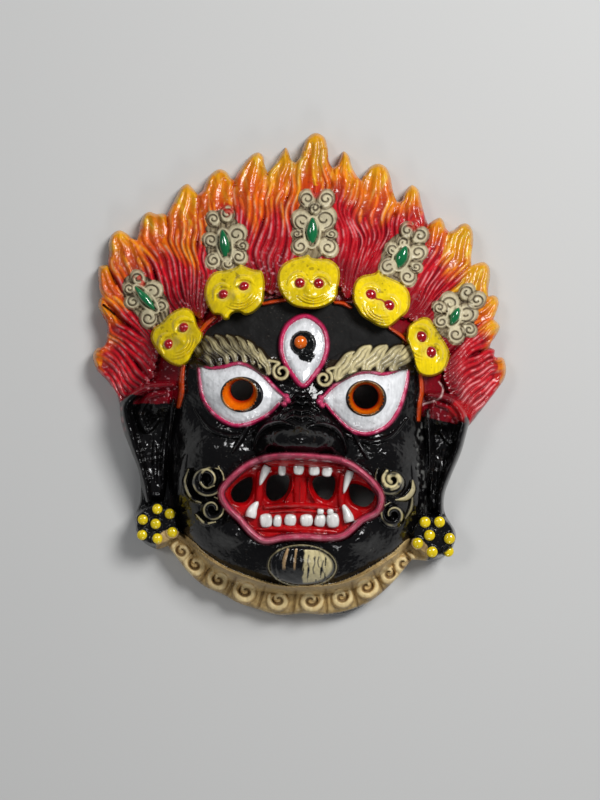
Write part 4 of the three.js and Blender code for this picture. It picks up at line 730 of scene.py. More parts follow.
# Eyes: cast white balls between pink lids, with a black ring round each pupil. The pupil is a cone, painted
# orange, down to a hole that goes right through the wall. The whites are painted grey towards the lids and
# the cone dark red towards the hole: painted shade.
WHITE, LID = srgb(240, 241, 243), srgb(192, 38, 88)
LID_WIDTH, RING_HEIGHT = 2.0, 3.9
for eye, line in zip(EYES, eye_lines):
    w, depth = boss(line, 1.2, edge=1.6, dome=2.2)
    # Painted shade: the white greys towards the lids, with random patches.
    grey = 0.35 * (1 - smooth(depth, 0.3, 3.0)) + 0.12 * noise(U[w], V[w], 6, 4)
    graded_coat(w, WHITE, srgb(150, 152, 158), grey, 0.16)
    crest[w] = 0.8
    for points, tall in ((eye["lower"], 2.8), (eye["upper"], 3.2)):
        w, out, along, side = stroke(points, LID_WIDTH, tall, 0, 0.65, 0.75, 50)
        shade = mix(LID, srgb(120, 24, 62), smooth(out, 0.55, 1)[:, None])
        light = smooth(noise(U[w], V[w], 1.6, 12), 0.5, 0.9) * (1 - out)
        coat(w, 1, mix(shade, srgb(232, 140, 168), light[:, None]), 0.2)
        crest[w] = 1 - out
    corner = eye["upper"][-1]
    side = -1 if corner[0] < 0 else 1
    for du, dv, size in ((0.6, -1.2, 1.5), (-0.4, -2.6, 1.2), (0.2, 0.2, 1.3)):
        spot = np.array([(corner[0] - side * du, corner[1] + dv)] * 2)
        w, out, _, _ = near_line(spot + [[0, 0], [0.01, 0]], size)
        lift(w, 2.6 * np.sqrt(1 - out ** 2))
        coat(w, out < 0.95, mix(LID, srgb(224, 90, 130), 0.4))
    u, v, across, up = eye["ring"]
    ring = ring_of(u, v, across, up, 90)
    w, depth = boss(ring, RING_HEIGHT, edge=0.8)
    coat(w, 1, srgb(10, 12, 14), 0.12)
    crest[w] = 0.6
    u, v, across, up = eye["cone"]
    w = window(u - 9, v - 9, u + 9, v + 9)
    out = np.hypot((U[w] - u) / across, (V[w] - v) / up)
    hole_u, hole_v, hole_across, hole_up = eye["hole"]
    hole_out = np.hypot((U[w] - hole_u) / hole_across, (V[w] - hole_v) / hole_up)
    inner = out < 1
    fall = np.clip((1 - out) / np.maximum(1 - out + (hole_out - 1) * hole_across / across, 1e-3), 0, 1)
    rise[w[inner]] = mix(3.7, -1.6, fall[inner] ** 0.9)
    lip = np.clip(1 - np.abs(out - 1.03) / 0.09, 0, 1)
    rise[w] += 0.35 * lip
    # Painted shade: the orange darkens to red deeper down the cone.
    cone_orange_and_shade = mix(srgb(244, 116, 8), srgb(176, 30, 4), smooth(fall, 0.45, 1)[:, None])
    coat(w[inner], 1, cone_orange_and_shade[inner], 0.2)
    crest[w[inner]] = 0.7
    gilt = np.clip(1 - np.abs(out - 1.02) / 0.07, 0, 1) * smooth(noise(U[w], V[w], 4, 15), 0.2, 0.6)
    coat(w, gilt, srgb(206, 150, 84))

# Third eye: an upright drop cast on the forehead, with a raised pink edge and white inside. Its black disc is
# thick paint that has run down a little. The white greys towards the edge and the pink edge darkens at its
# sides, painted shade, with a paler pink painted highlight along its top.
w, depth = boss(drop_line, 1.8, edge=1.6, dome=1.4)
# Painted shade: the white greys towards the pink edge, with random patches.
grey = 0.45 * (1 - smooth(depth, 1.6, 3.4)) + 0.2 * noise(U[w], V[w], 4, 2)
graded_coat(w, WHITE, srgb(146, 150, 156), grey, 0.16)
crest[w] = 0.8
w, out, along, side = stroke(DROP, 2.3, 2.8, count=90, closed=True)
# Painted shade down the sides of the pink edge; below, a painted highlight along its top.
graded_coat(w, LID, srgb(124, 22, 58), smooth(out, 0.5, 1), 0.2)
light = smooth(noise(U[w], V[w], 1.8, 30), 0.5, 0.85) * (1 - out)
coat(w, light * 0.6, srgb(230, 130, 160))
w, depth = boss(ring_of(-0.3, 11.5, 4.9, 4.9, 48), RING_HEIGHT, edge=0.7, dome=0.3)
coat(w, 1, srgb(9, 11, 12), 0.12)
RUN = [(1.8, 8), (4.6, 8), (3.6, 5.6), (2.4, 4.3), (1.2, 4.6), (-1.4, 5.6), (-2, 8)]
w, depth = boss(curve(RUN, 40, True), 3.2, edge=0.8)
coat(w, 1, srgb(12, 14, 14), 0.12)

# Brows: slanted locks of hair cast on a low dark ridge, each with two fine grooves, running in to a scroll at
# the nose. Their crests are gilt; they darken to umber at their edges, in their grooves and between them,
# which is painted shade, with random patches.
GILT, UMBER = srgb(212, 198, 150), srgb(44, 34, 22)
# One lock, from its root at the eye to its tip: how far it leans over and how high each point lies.
LOCK = [(-1.0, -4.2), (-0.75, -1.6), (0.3, 1.0), (0.8, 3.4), (1.5, 5.0)]
BROWS = [
    dict(line=[(-39.5, 5.2), (-34, 7), (-27, 8.2), (-20, 7.4), (-13.4, 3)], locks=8, side=-1, eye=(-8, 0.4),
         size=3.1,
         dim=0.5, wide=5.2, lock_edge_shade=0.4),
    dict(line=[(39.5, 7.4), (34, 6.8), (27, 6.5), (20, 5.8), (12.8, 1.7)], locks=5, side=1, eye=(8, -1.4),
         size=3.0,
         dim=0.05, wide=6.6, lock_edge_shade=0.66),
]
for brow in BROWS:
    side = brow["side"]
    spine = curve(brow["line"], 60)
    w, out, along, _ = near_line(spine, 5.3)
    lift(w, 1.2 * np.sqrt(1 - out ** 2))
    coat(w, (1 - smooth(out, 0.75, 1)) * (rise[w] < 3.5), UMBER, 0.3)
    for lock in range(brow["locks"]):
        u, v = spine[int((lock + 0.5) / brow["locks"] * 59)]
        fan = mix(3.6, 2.2, lock / (brow["locks"] - 1))
        tilt = side * fan
        points = [(u + tilt * out_by, v + up_by) for out_by, up_by in LOCK]
        dim = brow["dim"] + 0.35 * (lock < 2) - 0.25 * (lock > brow["locks"] - 3)
        w, out, along, off = stroke(points, brow["wide"], 2.7, 0.8, 0.6, 0.35, 30)
        # Painted shade: each lock darkens towards its edges.
        lock_edge_shade = smooth(out, brow["lock_edge_shade"], brow["lock_edge_shade"] + 0.3)
        darker_share = dim + 1.25 * lock_edge_shade + 0.6 * (noise(U[w], V[w], 2, 3) - 0.5)
        graded_coat(w, GILT, UMBER, darker_share, 0.3)
        crest[w] = 1 - out
        for groove in (-0.3, 0.3):
            fade = np.sin(np.clip(along, 0, 1) * math.pi) ** 0.5
            cut = np.clip(1 - np.abs(off - groove) / 0.13, 0, 1) * fade
            rise[w] -= 0.5 * cut
            # Painted shade in the two fine grooves.
            coat(w, 0.8 * cut, UMBER)
    u, v = brow["eye"]
    share = np.linspace(0, 1, 16)
    angle = (1.9 if side < 0 else 1.24) - side * share * 8.4
    radius = brow["size"] * mix(1.1, 0.3, share)
    points = [(brow["line"][-1][0] + side * 1.5, brow["line"][-1][1] + 1.8), *coil(u, v, radius, angle)]
    w, out, along, off = stroke(points, 1.9, 2.0, 1.4, 0.8, 0.8, 70)
    # Painted shade: the scroll darkens towards its edges.
    graded_coat(w, GILT, UMBER, 0.1 + smooth(out, 0.4, 1), 0.3)
    crest[w] = 1 - out

# Nose: wrinkles over the bridge, a broad tip and two winged nostrils, cast with the face and left glossy
# black. The full forms stop short of the lip.
off_lip = depth_near(lip_line, U, V) < -1.8


def full(height, u, v, across, up, power=1.0):
    """A full, rounded swelling of the face."""
    return height * np.exp(-(((U - u) / across) ** 2 + ((V - v) / up) ** 2) * power)


rise += full(5.0, 0, -25.0, 7.4, 4.6, 1.1) * off_lip
for side in (-1, 1):
    rise += full(3.6, 10.6 * side, -25.0, 4.8, 4.4, 1.3) * off_lip
    stroke([(2.6 * side, -19.6), (8 * side, -18.6), (13.6 * side, -20.6), (17 * side, -25),
            (17.6 * side, -29)], 2.6, 3.8,
           0.4, 0.4, 0.3)
    stroke([(14.4 * side, -17.8), (19.6 * side, -20.8), (22.6 * side, -26), (25.6 * side, -30.6)], 2.4, 2.4,
           0.2)
    # The dark dip of each nostril.
    w, out, _, _ = near_line([(7.2 * side, -29.4), (10.8 * side, -29.1)], 1.8)
    rise[w] -= 2.4 * (1 - out ** 2)
    # Folds under each eye and the full cheek.
    stroke([(12 * side, -18.4), (18 * side, -22.4), (26 * side, -24.4), (34 * side, -22), (40 * side, -15)],
           2.2, 1.7, 0.1)
    rise += full(2.2, 34 * side, -29, 11, 6.5, 1.6) * off_lip
for v, reach_out in ((-8.4, 3.6), (-10.9, 4.4), (-13.5, 5.0), (-16.2, 5.8)):
    stroke([(-reach_out, v - 1.3), (-reach_out * 0.45, v + 0.3), (0, v - 0.2), (reach_out * 0.45, v + 0.3),
            (reach_out, v - 1.3)], 2.2, 2.0, 0.2)
for side in (-1, 1):
    for k in range(3):
        stroke([(side * (5.4 + k * 2.2), -12 - k * 1.2), (side * (8.6 + k * 2.6), -15.6 - k * 1.8),
                (side * (10.4 + k * 3.2), -19.4 - k)], 1.7, 1.1, 0.1)

# Mouth: one cast pink lip all round and glossy red inside. Pillars, palate and tongue stand between its four
# openings, which go right through the wall. The lip darkens at its edges and is paler on top, painted shade
# and painted highlight, and the red darkens into each opening as painted shade.
MOUTH_RED, LIP_PINK = srgb(186, 8, 14), srgb(184, 66, 92)
w = window(-32, -66, 34, -28)
inside_lip = depth_in(lip_line, U[w], V[w])
inner = inside_lip > 0
coat(w[inner], 1, mix(MOUTH_RED, srgb(120, 2, 8),
                      smooth(noise(U[w[inner]], V[w[inner]], 5, 7), 0.3, 0.9)[:, None] * 0.5), 0.15)
crest[w[inner]] = 0.75
w, out, along, side = stroke(LIP, 3.3, 5.6, 0, count=200, closed=True)
# Painted shade at the lip's edges and, below, a paler painted highlight on its top.
tone = mix(LIP_PINK, srgb(120, 22, 44), smooth(out, 0.5, 1)[:, None])
coat(w, 1, mix(tone, srgb(214, 120, 140),
               (smooth(noise(U[w], V[w], 2.2, 25), 0.4, 0.9) * (1 - out) * 0.7)[:, None]), 0.22)
crest[w] = 1 - out
for v in (-33.8, -58.4):
    stroke([(-16, v - 0.8), (-6, v), (6, v), (17, v - 0.8)], 3.2, 2.2)
for points, width, tall in [
        ([(-12, -50.6), (-5, -49.8), (2, -49.4), (9, -49.8), (15, -50.6)], 2.4, 2.2),
        ([(0.6, -37.5), (0.8, -43), (0.8, -49)], 5.4, 2.0),
        ([(-2.6, -38.4), (-2.4, -43), (-4.6, -48)], 1.0, 2.4),
        ([(4.2, -38.4), (4, -42.6), (6.6, -47.6)], 1.0, 2.4), ([(0.8, -38), (1, -43), (0.9, -48)], 1.2, 2.6),
        ([(-14.6, -38), (-14.4, -44), (-14.8, -49.6)], 3.4, 1.9),
        ([(16.6, -38), (16.4, -44), (16.6, -48.8)], 3.2, 1.9),
        ([(-10, -52.4), (-2, -51.6), (4, -51.4), (12, -52.2)], 1.4, 1.4)]:
    w, out, _, _ = stroke(points, width, tall, 0, 0.8, 0.8)
    crest[w] = 1 - 0.6 * out
for hole in holes[:4]:
    w = window(*(hole.min(0) - 2), *(hole.max(0) + 2))
    off = -depth_in(hole, U[w], V[w])
    fall = 1 - np.clip(off / 1.5, 0, 1)
    rise[w] = rise[w] * (1 - fall) - 2.4 * fall ** 1.6
    # Painted shade: the red darkens where the surface falls into each opening.
    coat(w, smooth(fall, 0.55, 1) * 0.6, srgb(110, 2, 6))

# Cheeks and chin: cast scrolls of beard with a gilt edge, bulging jaws, and a tuft under the lip. The tuft is
# ribbed, black on the left and washed with gold on the right.
CHEEKS = [
    dict(at=(-34.6, -41.4), size=6.6, start=0.9, way=-1, turns=1.3, gilt=0.45),
    dict(at=(-32.0, -52.2), size=4.4, start=1.4, way=-1, turns=1.2, gilt=0.5),
    dict(at=(35.6, -38.4), size=6.9, start=2.6, way=1, turns=0.72, gilt=0.15),
    dict(at=(36.2, -51.6), size=4.6, start=1.9, way=1, turns=1.2, gilt=0.4),
]
for cheek in CHEEKS:
    u, v = cheek["at"]
    share = np.linspace(0, 1, 14)
    angle = cheek["start"] + cheek["way"] * share * cheek["turns"] * 2 * math.pi
    radius = cheek["size"] * mix(1, 0.32, share)
    w, out, along, off = stroke(coil(u, v, radius, angle), 3.1, 3.0, 0.2, 0.4, 0.8, 40)
    gilt = 1 - smooth(np.abs(off + 0.34 * cheek["way"]), 0.1, 0.28)
    gilt = gilt * smooth(noise(U[w], V[w], 2.5, 1), 0.15, 0.5)
    coat(w, cheek["gilt"] * 2 * gilt, GILT, 0.3)
    crest[w] = 1 - out
share = np.linspace(0, 1, 12)
angle = 2.2 + share * 8.2
w, out, along, off = stroke(coil(35.4, -38.4, 3.9 * mix(1, 0.3, share), angle), 2.7, 2.8, 1.0, 0.6, 0.8, 40)
coat(w, (1 - smooth(out, 0.5, 0.85)) * smooth(noise(U[w], V[w], 2, 3), 0.1, 0.4), GILT, 0.3)
w, out, along, off = stroke([(43, -38.6), (43.2, -42), (41, -45), (37, -46)], 2.6, 2.0, 0.6, 0.3, 0.2)
coat(w, (1 - smooth(out, 0.5, 0.9)) * 0.85, GILT, 0.3)
w, out, along, off = stroke([(43.2, -44), (42.8, -49), (40.8, -53)], 1.5, 1.4, 0.3)
coat(w, 0.5 * (1 - out), GILT)
for points in ([(-30.4, -37), (-33.4, -36.6), (-36.4, -38.6), (-37, -42), (-34.6, -44.4), (-31.6, -43.4)],
               [(-41.6, -37.6), (-42.8, -42.6), (-40, -48.4), (-36.4, -50)],
               [(-38, -54.6), (-34.6, -57.6), (-30.6, -57)]):
    w, out, along, off = stroke(points, 1.7, 2.0, 1.4, 0.5, 0.5, 40)
    coat(w, (1 - smooth(out, 0.25, 0.6)) * smooth(noise(U[w], V[w], 1.8, 4), 0.2, 0.5) * 0.8, GILT, 0.3)
for side in (-1, 1):
    rise += full(4.2, 24 * side, -60.6, 8, 6, 1.5) * off_lip
    for k in range(5):
        stroke([(side * (40 + 0.9 * k), -24 - 2 * k), (side * (42.4 + 0.7 * k), -32 - 2 * k),
                (side * (43.4 + 0.4 * k), -42 - 3 * k)],
               1.1, 0.7, 0.1)
w, depth = boss(ring_of(2.7, -72.2, 13, 7.9, 60), 1.6, edge=1.2, dome=2.0)
coat(w, 1, srgb(12, 13, 16), 0.14)
w, out, along, off = stroke(ring_of(2.7, -72.2, 12.8, 7.8, 24), 0.9, 2.2, 0.3, count=60, closed=True)
coat(w, (1 - out) * 0.6, GILT)
for u in (-8.4, -6.6, -4.2, -2.2, -0.2, 1.8, 3.8, 6.0, 8.4, 10.6, 12.6):
    points = [(u * 0.82 + 0.4, -66.2), (u, -72), (u * 0.86 + 0.2, -77.6)]
    w, out, along, off = stroke(points, 2.3, 1.3, 2.4, 0.5, 0.4)
    if u in (-4.2, -0.2):
        coat(w, (1 - smooth(out, 0.55, 0.95)) * smooth(-along, -0.72, -0.55), srgb(190, 156, 112), 0.25)
w = window(2.4, -79, 15, -66)
within = smooth(1 - np.hypot((U[w] - 2.7) / 12, (V[w] + 72) / 7), 0, 0.12)
wash = within * smooth(U[w] + 0.8 * noise(U[w], V[w], 1.5, 9), 3.2, 3.9)
coat(w, wash * (noise(U[w] * 1.6, V[w] * 0.3, 1.3, 14) > 0.2), GILT, 0.3)
for points in ([(5.0, -68.2), (4.7, -70.6), (5.3, -73), (5.0, -75.6)],
               [(7.0, -69), (7.4, -71), (6.8, -73.2), (7.2, -75)],
               [(8.9, -68.6), (8.5, -70.4), (9.0, -72.4)], [(10.6, -70), (10.2, -72), (10.7, -74.4)]):
    w, out, _, _ = near_line(curve(points, 30), 0.34)
    coat(w, (1 - out ** 2) * 0.9, srgb(30, 34, 52))

# Ears: long glossy black lobes with a raised rim round a folded hollow, cast with the face. The crown's red
# paint runs over their tops, and the black is scuffed beside the cheeks in pale grey lines, which are partly
# painted glints.
EARS = [
    dict(rim=[(-49, -6), (-58, -7.5), (-66, -14), (-64, -24), (-60.5, -34), (-57.5, -43), (-56, -50)],
         inner=-48.5),
    dict(rim=[(48, -6), (56, -7.5), (61, -14), (59.4, -24), (56, -34), (53.4, -43), (53.6, -50)], inner=47.5),
]
for ear in EARS:
    inner = ear["inner"]
    side = 1 if inner > 0 else -1
    boss(np.array([*ear["rim"], (inner + 2 * side, -50), (inner, -34), (inner, -18)]), 4, edge=2)
    w, out, along, off = stroke(ear["rim"], 5, 9.5, 0, 0.6, 0.6, 40)
    under = V[w] < -12 + 2 * noise(U[w], V[w], 4, 6)
    coat(w, under, BLACK, 0.16)
    w, out, along, off = stroke([(inner, -12), (inner + 2.4 * side, -28), (inner + 2.6 * side, -48)], 3.4, 8,
                                0, 0.6, 0.3, 30)
    coat(w, 1, BLACK, 0.16)
    fold = [(inner + 3.4 * side, -9.5), (inner + 9 * side, -11), (inner + 12.4 * side, -17),
            (inner + 9.4 * side, -23.5),
            (inner + 5.4 * side, -20)]
    stroke(fold, 3.4, 2.6, 3.6, 0.5, 0.6, 30)
    stroke([(inner + 6.5 * side, -25), (inner + 6 * side, -34), (inner + 5 * side, -45)], 2.6, 1.8, 3.2, 0.4,
           0.4, 20)
    lobe = depth_near(np.array([*ear["rim"], (inner + 2 * side, -50), (inner, -34), (inner, -18)]), U, V) > 0
    rise += full(2.0, inner + 7 * side, -16, 3.4, 3.6)
    rise += lobe * (1.1 * (noise(U, V, 3.4, 19) - 0.5) + 0.5 * (noise(U, V, 1.5, 23) - 0.5))
w = window(52, -20, 66, -4)
patch = np.hypot((U[w] - 60) / 5.5, (V[w] + 11.5) / 4.2) + 0.5 * noise(U[w], V[w], 2, 8)
patch = 1 - smooth(patch, 0.8, 1.25)
coat(w, patch, srgb(188, 22, 30), 0.2)
w = window(-70, -24, -60, -10)
patch = 1 - smooth(depth_in(spaced(outline, 1.2, True), U[w], V[w]), 0.5, 1.3)
patch = patch * (noise(U[w], V[w], 2, 8) > 0.3)
coat(w, patch * 0.8, srgb(150, 16, 24), 0.2)

for points in ([(45.4, -17), (44, -26), (45.6, -38), (47.4, -52)],
               [(48.6, -12), (46.4, -18), (46, -30), (49, -50)],
               [(58.8, -34), (56.6, -44), (57, -50)]):
    w, out, _, _ = near_line(curve(points, 40), 0.9)
    # Pale grey scuffs, partly painted glints.
    scuffs_and_glints = noise(U[w], V[w] * 0.5, 0.7, 3) + 0.4 * noise(U[w], V[w], 3, 8)
    scuffs_and_glints = smooth(scuffs_and_glints, 0.7, 1.1) * (1 - out ** 2)
    coat(w, scuffs_and_glints * 0.5, srgb(150, 150, 146), 0.35)

# Earrings: round black rosettes cast under each ear, with a low collar round each of seven knobs. The beads
# of yellow paint on the knobs are modelled further down.
EARRINGS = [
    dict(at=(-52.8, -59),
         beads=[(-53.1, -58.6), (-52.7, -53), (-47.9, -54.6), (-58, -57.2), (-46.7, -61.5), (-58, -63),
                                 (-52.2, -64.1)]),
    dict(at=(51.7, -59),
         beads=[(50.1, -58.7), (48.2, -53.9), (53.6, -53.6), (57.7, -59.7), (45.8, -61.9), (51.3, -65),
                                (57.4, -64.5)]),
]
for earring in EARRINGS:
    w, depth = boss(ring_of(*earring["at"], 8.6, 8.4, 40), 7.6, edge=1.4)
    coat(w, 1, srgb(13, 13, 15), 0.16)
    for u, v in earring["beads"]:
        w, out, along, off = stroke(ring_of(u, v, 2.15, 2.15, 16), 0.9, 0.7, 7.5, count=24, closed=True)

# Beard band: a cast edge of ten scrolls from one earring to the other, under the jaw. It is gilt, blotched
# with brown, and darker brown at the scrolls' edges and in its grooves as painted shade.
BAND_GOLD, BAND_DARK = srgb(208, 178, 118), srgb(112, 78, 38)
BAND_WIDTH, BAND_GLOSS = 11.2, 0.38
BAND_SPINE = [(-47, -66), (-42.9, -68.4), (-37.5, -73.2), (-28.6, -78.6), (-18.2, -82.4), (-5.7, -85.2),
              (6.4, -85), (17.9, -83.2), (27.1, -79), (35.4, -73.6), (40.7, -69.6), (44.5, -65.6)]
w, out, along, off = near_line(curve(BAND_SPINE, 90), BAND_WIDTH / 2)
lift(w, 2.4 * np.sqrt(1 - out ** 2) + 0.6)
blotch = 0.5 * noise(U[w], V[w], 3.2, 8) + 0.5 * noise(U[w], V[w], 1.2, 9)
graded_coat(w, BAND_GOLD, BAND_DARK, 0.25 + 0.9 * (blotch - 0.4), BAND_GLOSS)
crest[w] = 0.4
w, out, along, off = near_line(curve(BAND_SPINE, 90) + [0.15, 4.4], 1.0)
lift(w, 2.8 + 0.7 * np.sqrt(1 - out ** 2))
coat(w, 1 - smooth(out, 0.7, 1), srgb(176, 148, 98), BAND_GLOSS)
for number, (u, v) in enumerate(BAND_SPINE[1:-1]):
    side = 1 if u < 0 else -1
    size = (3.8, 4.3)[number % 2]
    (au, av), (bu, bv) = BAND_SPINE[number], BAND_SPINE[number + 2]
    turn = math.atan2(bv - av, bu - au)
    w, depth = boss(ring_of(u, v - 0.2, size * 1.3, size * 1.14, 36, turn), 2.5, edge=1.8, dome=1.1)
    coat(w, smooth(depth, 0.2, 1.6) * 0.7, srgb(212, 180, 120))
    crest[w] = 0.55
    share = np.linspace(0, 1, 12)
    angle = math.pi / 2 + side * (1.1 + 6.0 * share)
    radius = size * mix(0.94, 0.34, share)
    x, y = 1.1 * radius * np.cos(angle), radius * np.sin(angle)
    points = np.stack([u + x * math.cos(turn) - y * math.sin(turn),
                       v - 0.2 + x * math.sin(turn) + y * math.cos(turn)], 1)
    w, out, along, off = stroke(points, 3.3, 1.7, 3.0, 0.5, 0.95, 44)
    # Painted shade: each scroll darkens towards its edges, with random patches.
    darker_share = smooth(out, 0.3, 1) + 0.8 * (noise(U[w], V[w], 1.3, 7) - 0.5)
    graded_coat(w, srgb(226, 202, 148), srgb(186, 150, 92), darker_share, BAND_GLOSS)
    crest[w] = 1 - 0.6 * out
    # The spiral groove in each scroll is painted dark brown: painted shade.
    spiral = mix(points, np.array([u, v - 0.2]), np.linspace(0.42, 0.5, 12)[:, None])
    engrave(spiral, 1.3, 1.3, srgb(92, 60, 28), 60, 0.8)
    # Painted shade: a dark groove between each scroll and the next.
    middle = np.array([(u + bu) / 2, (v + bv) / 2])
    across = np.array([-math.sin(turn), math.cos(turn)])
    w, out, along, off = near_line([middle + across * 3.4, middle - across * 5.4], 0.7)
    rise[w] -= 1.0 * (1 - out)
    coat(w, 0.6 * (1 - out), BAND_DARK)

# The finish of the whole skin: a rounded edge, then the small unevenness of a sand casting under thick paint.
# The black is glossy and lumpy, but dull on the forehead, and there it is painted blacker as painted shade.
edge_depth = depth_near(outline, U, V)
edge_depth[:len(outline)] = 0
round_off = RIM_ROUND * (1 - np.sqrt(np.clip(1 - (1 - np.clip(edge_depth / RIM_ROUND, 0, 1)) ** 2, 0, 1)))
level = base + rise - EDGE_DROP * round_off
level += 0.16 * (noise(U, V, 1.3, 31) - 0.5) + 0.12 * (noise(U, V, 0.6, 33) - 0.5)
BLACK_GLOSS, FOREHEAD_GLOSS = 0.13, 0.8
rough_black = (paint.sum(1) < 0.06).astype(float)
forehead = (rough_black > 0) & (V > 6) & (rise < 1)
shine[rough_black > 0] = np.minimum(shine[rough_black > 0], BLACK_GLOSS)
shine[forehead] = FOREHEAD_GLOSS
# Painted shade: the forehead's black is painted blacker.
paint[forehead] = srgb(4, 3, 3)
level += rough_black * (0.5 * (noise(U, V, 5.5, 41) - 0.5) + 0.17 * (noise(U, V, 1.8, 43) - 0.5))
level = np.maximum(level, 0.8)

# The skin is cut into triangles between all these points. The hollow behind it follows the plain form, one
# wall thickness in, and its back is left rough and dark.
def triangles_between(points):
    """Triangles that face up, within the outline and outside the holes."""
    made = delaunay_2d_cdt([Vector(p) for p in points.tolist()], kept_edges, [], 1, 1e-5, True)
    source = np.array([ids[0] if ids else -1 for ids in made[3]])
    triangles = source[np.array(made[2])]
    a, b, c = (points[triangles[:, k]] for k in range(3))
    turned = (b[:, 0] - a[:, 0]) * (c[:, 1] - a[:, 1]) - (b[:, 1] - a[:, 1]) * (c[:, 0] - a[:, 0]) < 0
    triangles[turned] = triangles[turned][:, ::-1]
    on_lines = np.flatnonzero((triangles < fixed).all(1))
    middle = points[triangles[on_lines]].mean(1)
    keep = depth_in(outline, middle[:, 0], middle[:, 1]) > 0
    for hole in holes:
        keep &= depth_in(hole, middle[:, 0], middle[:, 1]) < 0
    return np.delete(triangles, on_lines[~keep], axis=0)


coarse_u, coarse_v = np.meshgrid(np.arange(-82, 82, 3.0), np.arange(-92, 92, 3.0))
behind = np.stack([coarse_u.ravel(), coarse_v.ravel()], 1) + dice.uniform(-0.2, 0.2, (coarse_u.size, 2))
behind = behind[depth_near(outline, behind[:, 0], behind[:, 1]) > 1.2]
for hole in holes:
    behind = behind[depth_in(hole, behind[:, 0], behind[:, 1]) < -1.0]
step_in = spaced(curve(hollow, 400, True), 2.0, True)
behind = np.vstack([np.array(sheet_points), behind])
tri_front, tri_back = triangles_between(sheet), triangles_between(behind)
hollow_depth = depth_in(step_in, behind[:, 0], behind[:, 1])
level_back = smooth(hollow_depth, 0, 1.6) * np.maximum(plain(behind[:, 0], behind[:, 1]) - WALL, 0)
hole_points = len(outline)
hole_total = sum(len(hole) for hole in holes)
on_hole = slice(hole_points, hole_points + hole_total)
level[on_hole] = np.maximum(level[on_hole], level_back[on_hole] + 0.4)

edge_x = DRAFT_CENTRE[0] + (outline[:, 0] - DRAFT_CENTRE[0]) * DRAFT_APEX / (DRAFT_APEX - DRAFT_LEVEL)
edge_y = DRAFT_CENTRE[1] + (outline[:, 1] - DRAFT_CENTRE[1]) * DRAFT_APEX / (DRAFT_APEX - DRAFT_LEVEL)
cad_low, cad_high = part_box("mask")
shift_x = (cad_low[0] + cad_high[0]) * 500 - (edge_x.min() + edge_x.max()) / 2
shift_y = (cad_low[1] + cad_high[1]) * 500 - (edge_y.min() + edge_y.max()) / 2


def on_mask(u, v, z):
    """A point of the drawing on the real mask, in metres."""
    lean = (DRAFT_APEX - z) / (DRAFT_APEX - DRAFT_LEVEL)
    x = DRAFT_CENTRE[0] + (u - DRAFT_CENTRE[0]) * lean + shift_x
    y = DRAFT_CENTRE[1] + (v - DRAFT_CENTRE[1]) * lean + shift_y
    return np.stack([x, y, z + 0 * x], -1) / 1000


front_xyz, back_xyz = on_mask(U, V, level), on_mask(behind[:, 0], behind[:, 1], level_back)
# The paint goes down the edge and stops just above its foot, and it is the paint of the skin just inside.
BARE_FOOT = 0.0004
foot_share = np.clip(BARE_FOOT / (front_xyz[:fixed, 2:] - back_xyz[:fixed, 2:] + 1e-9), 0, 0.5)
foot_xyz = mix(back_xyz[:fixed], front_xyz[:fixed], foot_share)
inside = np.zeros((len(sheet), 4))
for k in range(3):
    ends = tri_front[:, [k, (k + 1) % 3]]
    for one, other in (ends.T, ends[:, ::-1].T):
        pick = (one < len(outline)) & (other >= len(outline))
        np.add.at(inside, one[pick], np.column_stack([paint[other[pick]], np.ones(pick.sum())]))
edge = np.flatnonzero(inside[:, 3])
paint[edge] = inside[edge, :3] / inside[edge, 3:]


def corner_normals(points, triangles):
    a, b, c = (points[triangles[:, k]] for k in range(3))
    face = np.cross(b - a, c - a)
    total = np.zeros_like(points)
    for k in range(3):
        np.add.at(total, triangles[:, k], face)
    return total / (np.linalg.norm(total, axis=1)[:, None] + 1e-12)


front_normals, back_normals = corner_normals(front_xyz, tri_front), -corner_normals(back_xyz, tri_back)

# Enamel: brushed on thick, so its colour varies in streaks, is darkened in the grooves as painted shade, and
# is chipped and flecked on top. One group makes these marks for every painted piece.
marks = bpy.data.node_groups.new("enamel_marks", "ShaderNodeTree")
for name, kind, way in (("Colour", "NodeSocketColor", "INPUT"), ("Crest", "NodeSocketFloat", "INPUT"),
                        ("Gloss", "NodeSocketFloat", "INPUT"), ("Wear", "NodeSocketFloat", "INPUT"),
                        ("Colour", "NodeSocketColor", "OUTPUT"), ("Roughness", "NodeSocketFloat", "OUTPUT"),
                        ("Normal", "NodeSocketVector", "OUTPUT")):
    marks.interface.new_socket(name, in_out=way, socket_type=kind)
inputs, outputs = marks.nodes.new("NodeGroupInput"), marks.nodes.new("NodeGroupOutput")
place = marks.nodes.new("ShaderNodeTexCoord").outputs["Object"]


def joined(tree, kind, links=(), **settings):
    """A node with its settings made and its inputs linked or set."""
    node = tree.nodes.new(kind)
    for key, value in settings.items():
        setattr(node, key, value)
    for socket, value in dict(links).items():
        if isinstance(value, bpy.types.NodeSocket):
            tree.links.new(value, node.inputs[socket])
        else:
            node.inputs[socket].default_value = value
    return node


def spots(tree, where, scale, detail=2.0, rough=0.5):
    return joined(tree, "ShaderNodeTexNoise",
                  {"Vector": where, "Scale": scale, "Detail": detail, "Roughness": rough}).outputs[0]


def ranged(tree, value, low, high, to_low=0.0, to_high=1.0):
    return joined(tree, "ShaderNodeMapRange", {0: value, 1: low, 2: high, 3: to_low, 4: to_high}).outputs[0]


def sums(tree, operation, a, b):
    return joined(tree, "ShaderNodeMath", {0: a, 1: b}, operation=operation).outputs[0]


def blended(tree, share, a, b, blend="MIX"):
    node = joined(tree, "ShaderNodeMix", {0: share, 6: a, 7: b}, data_type="RGBA", blend_type=blend)
    return node.outputs[2]


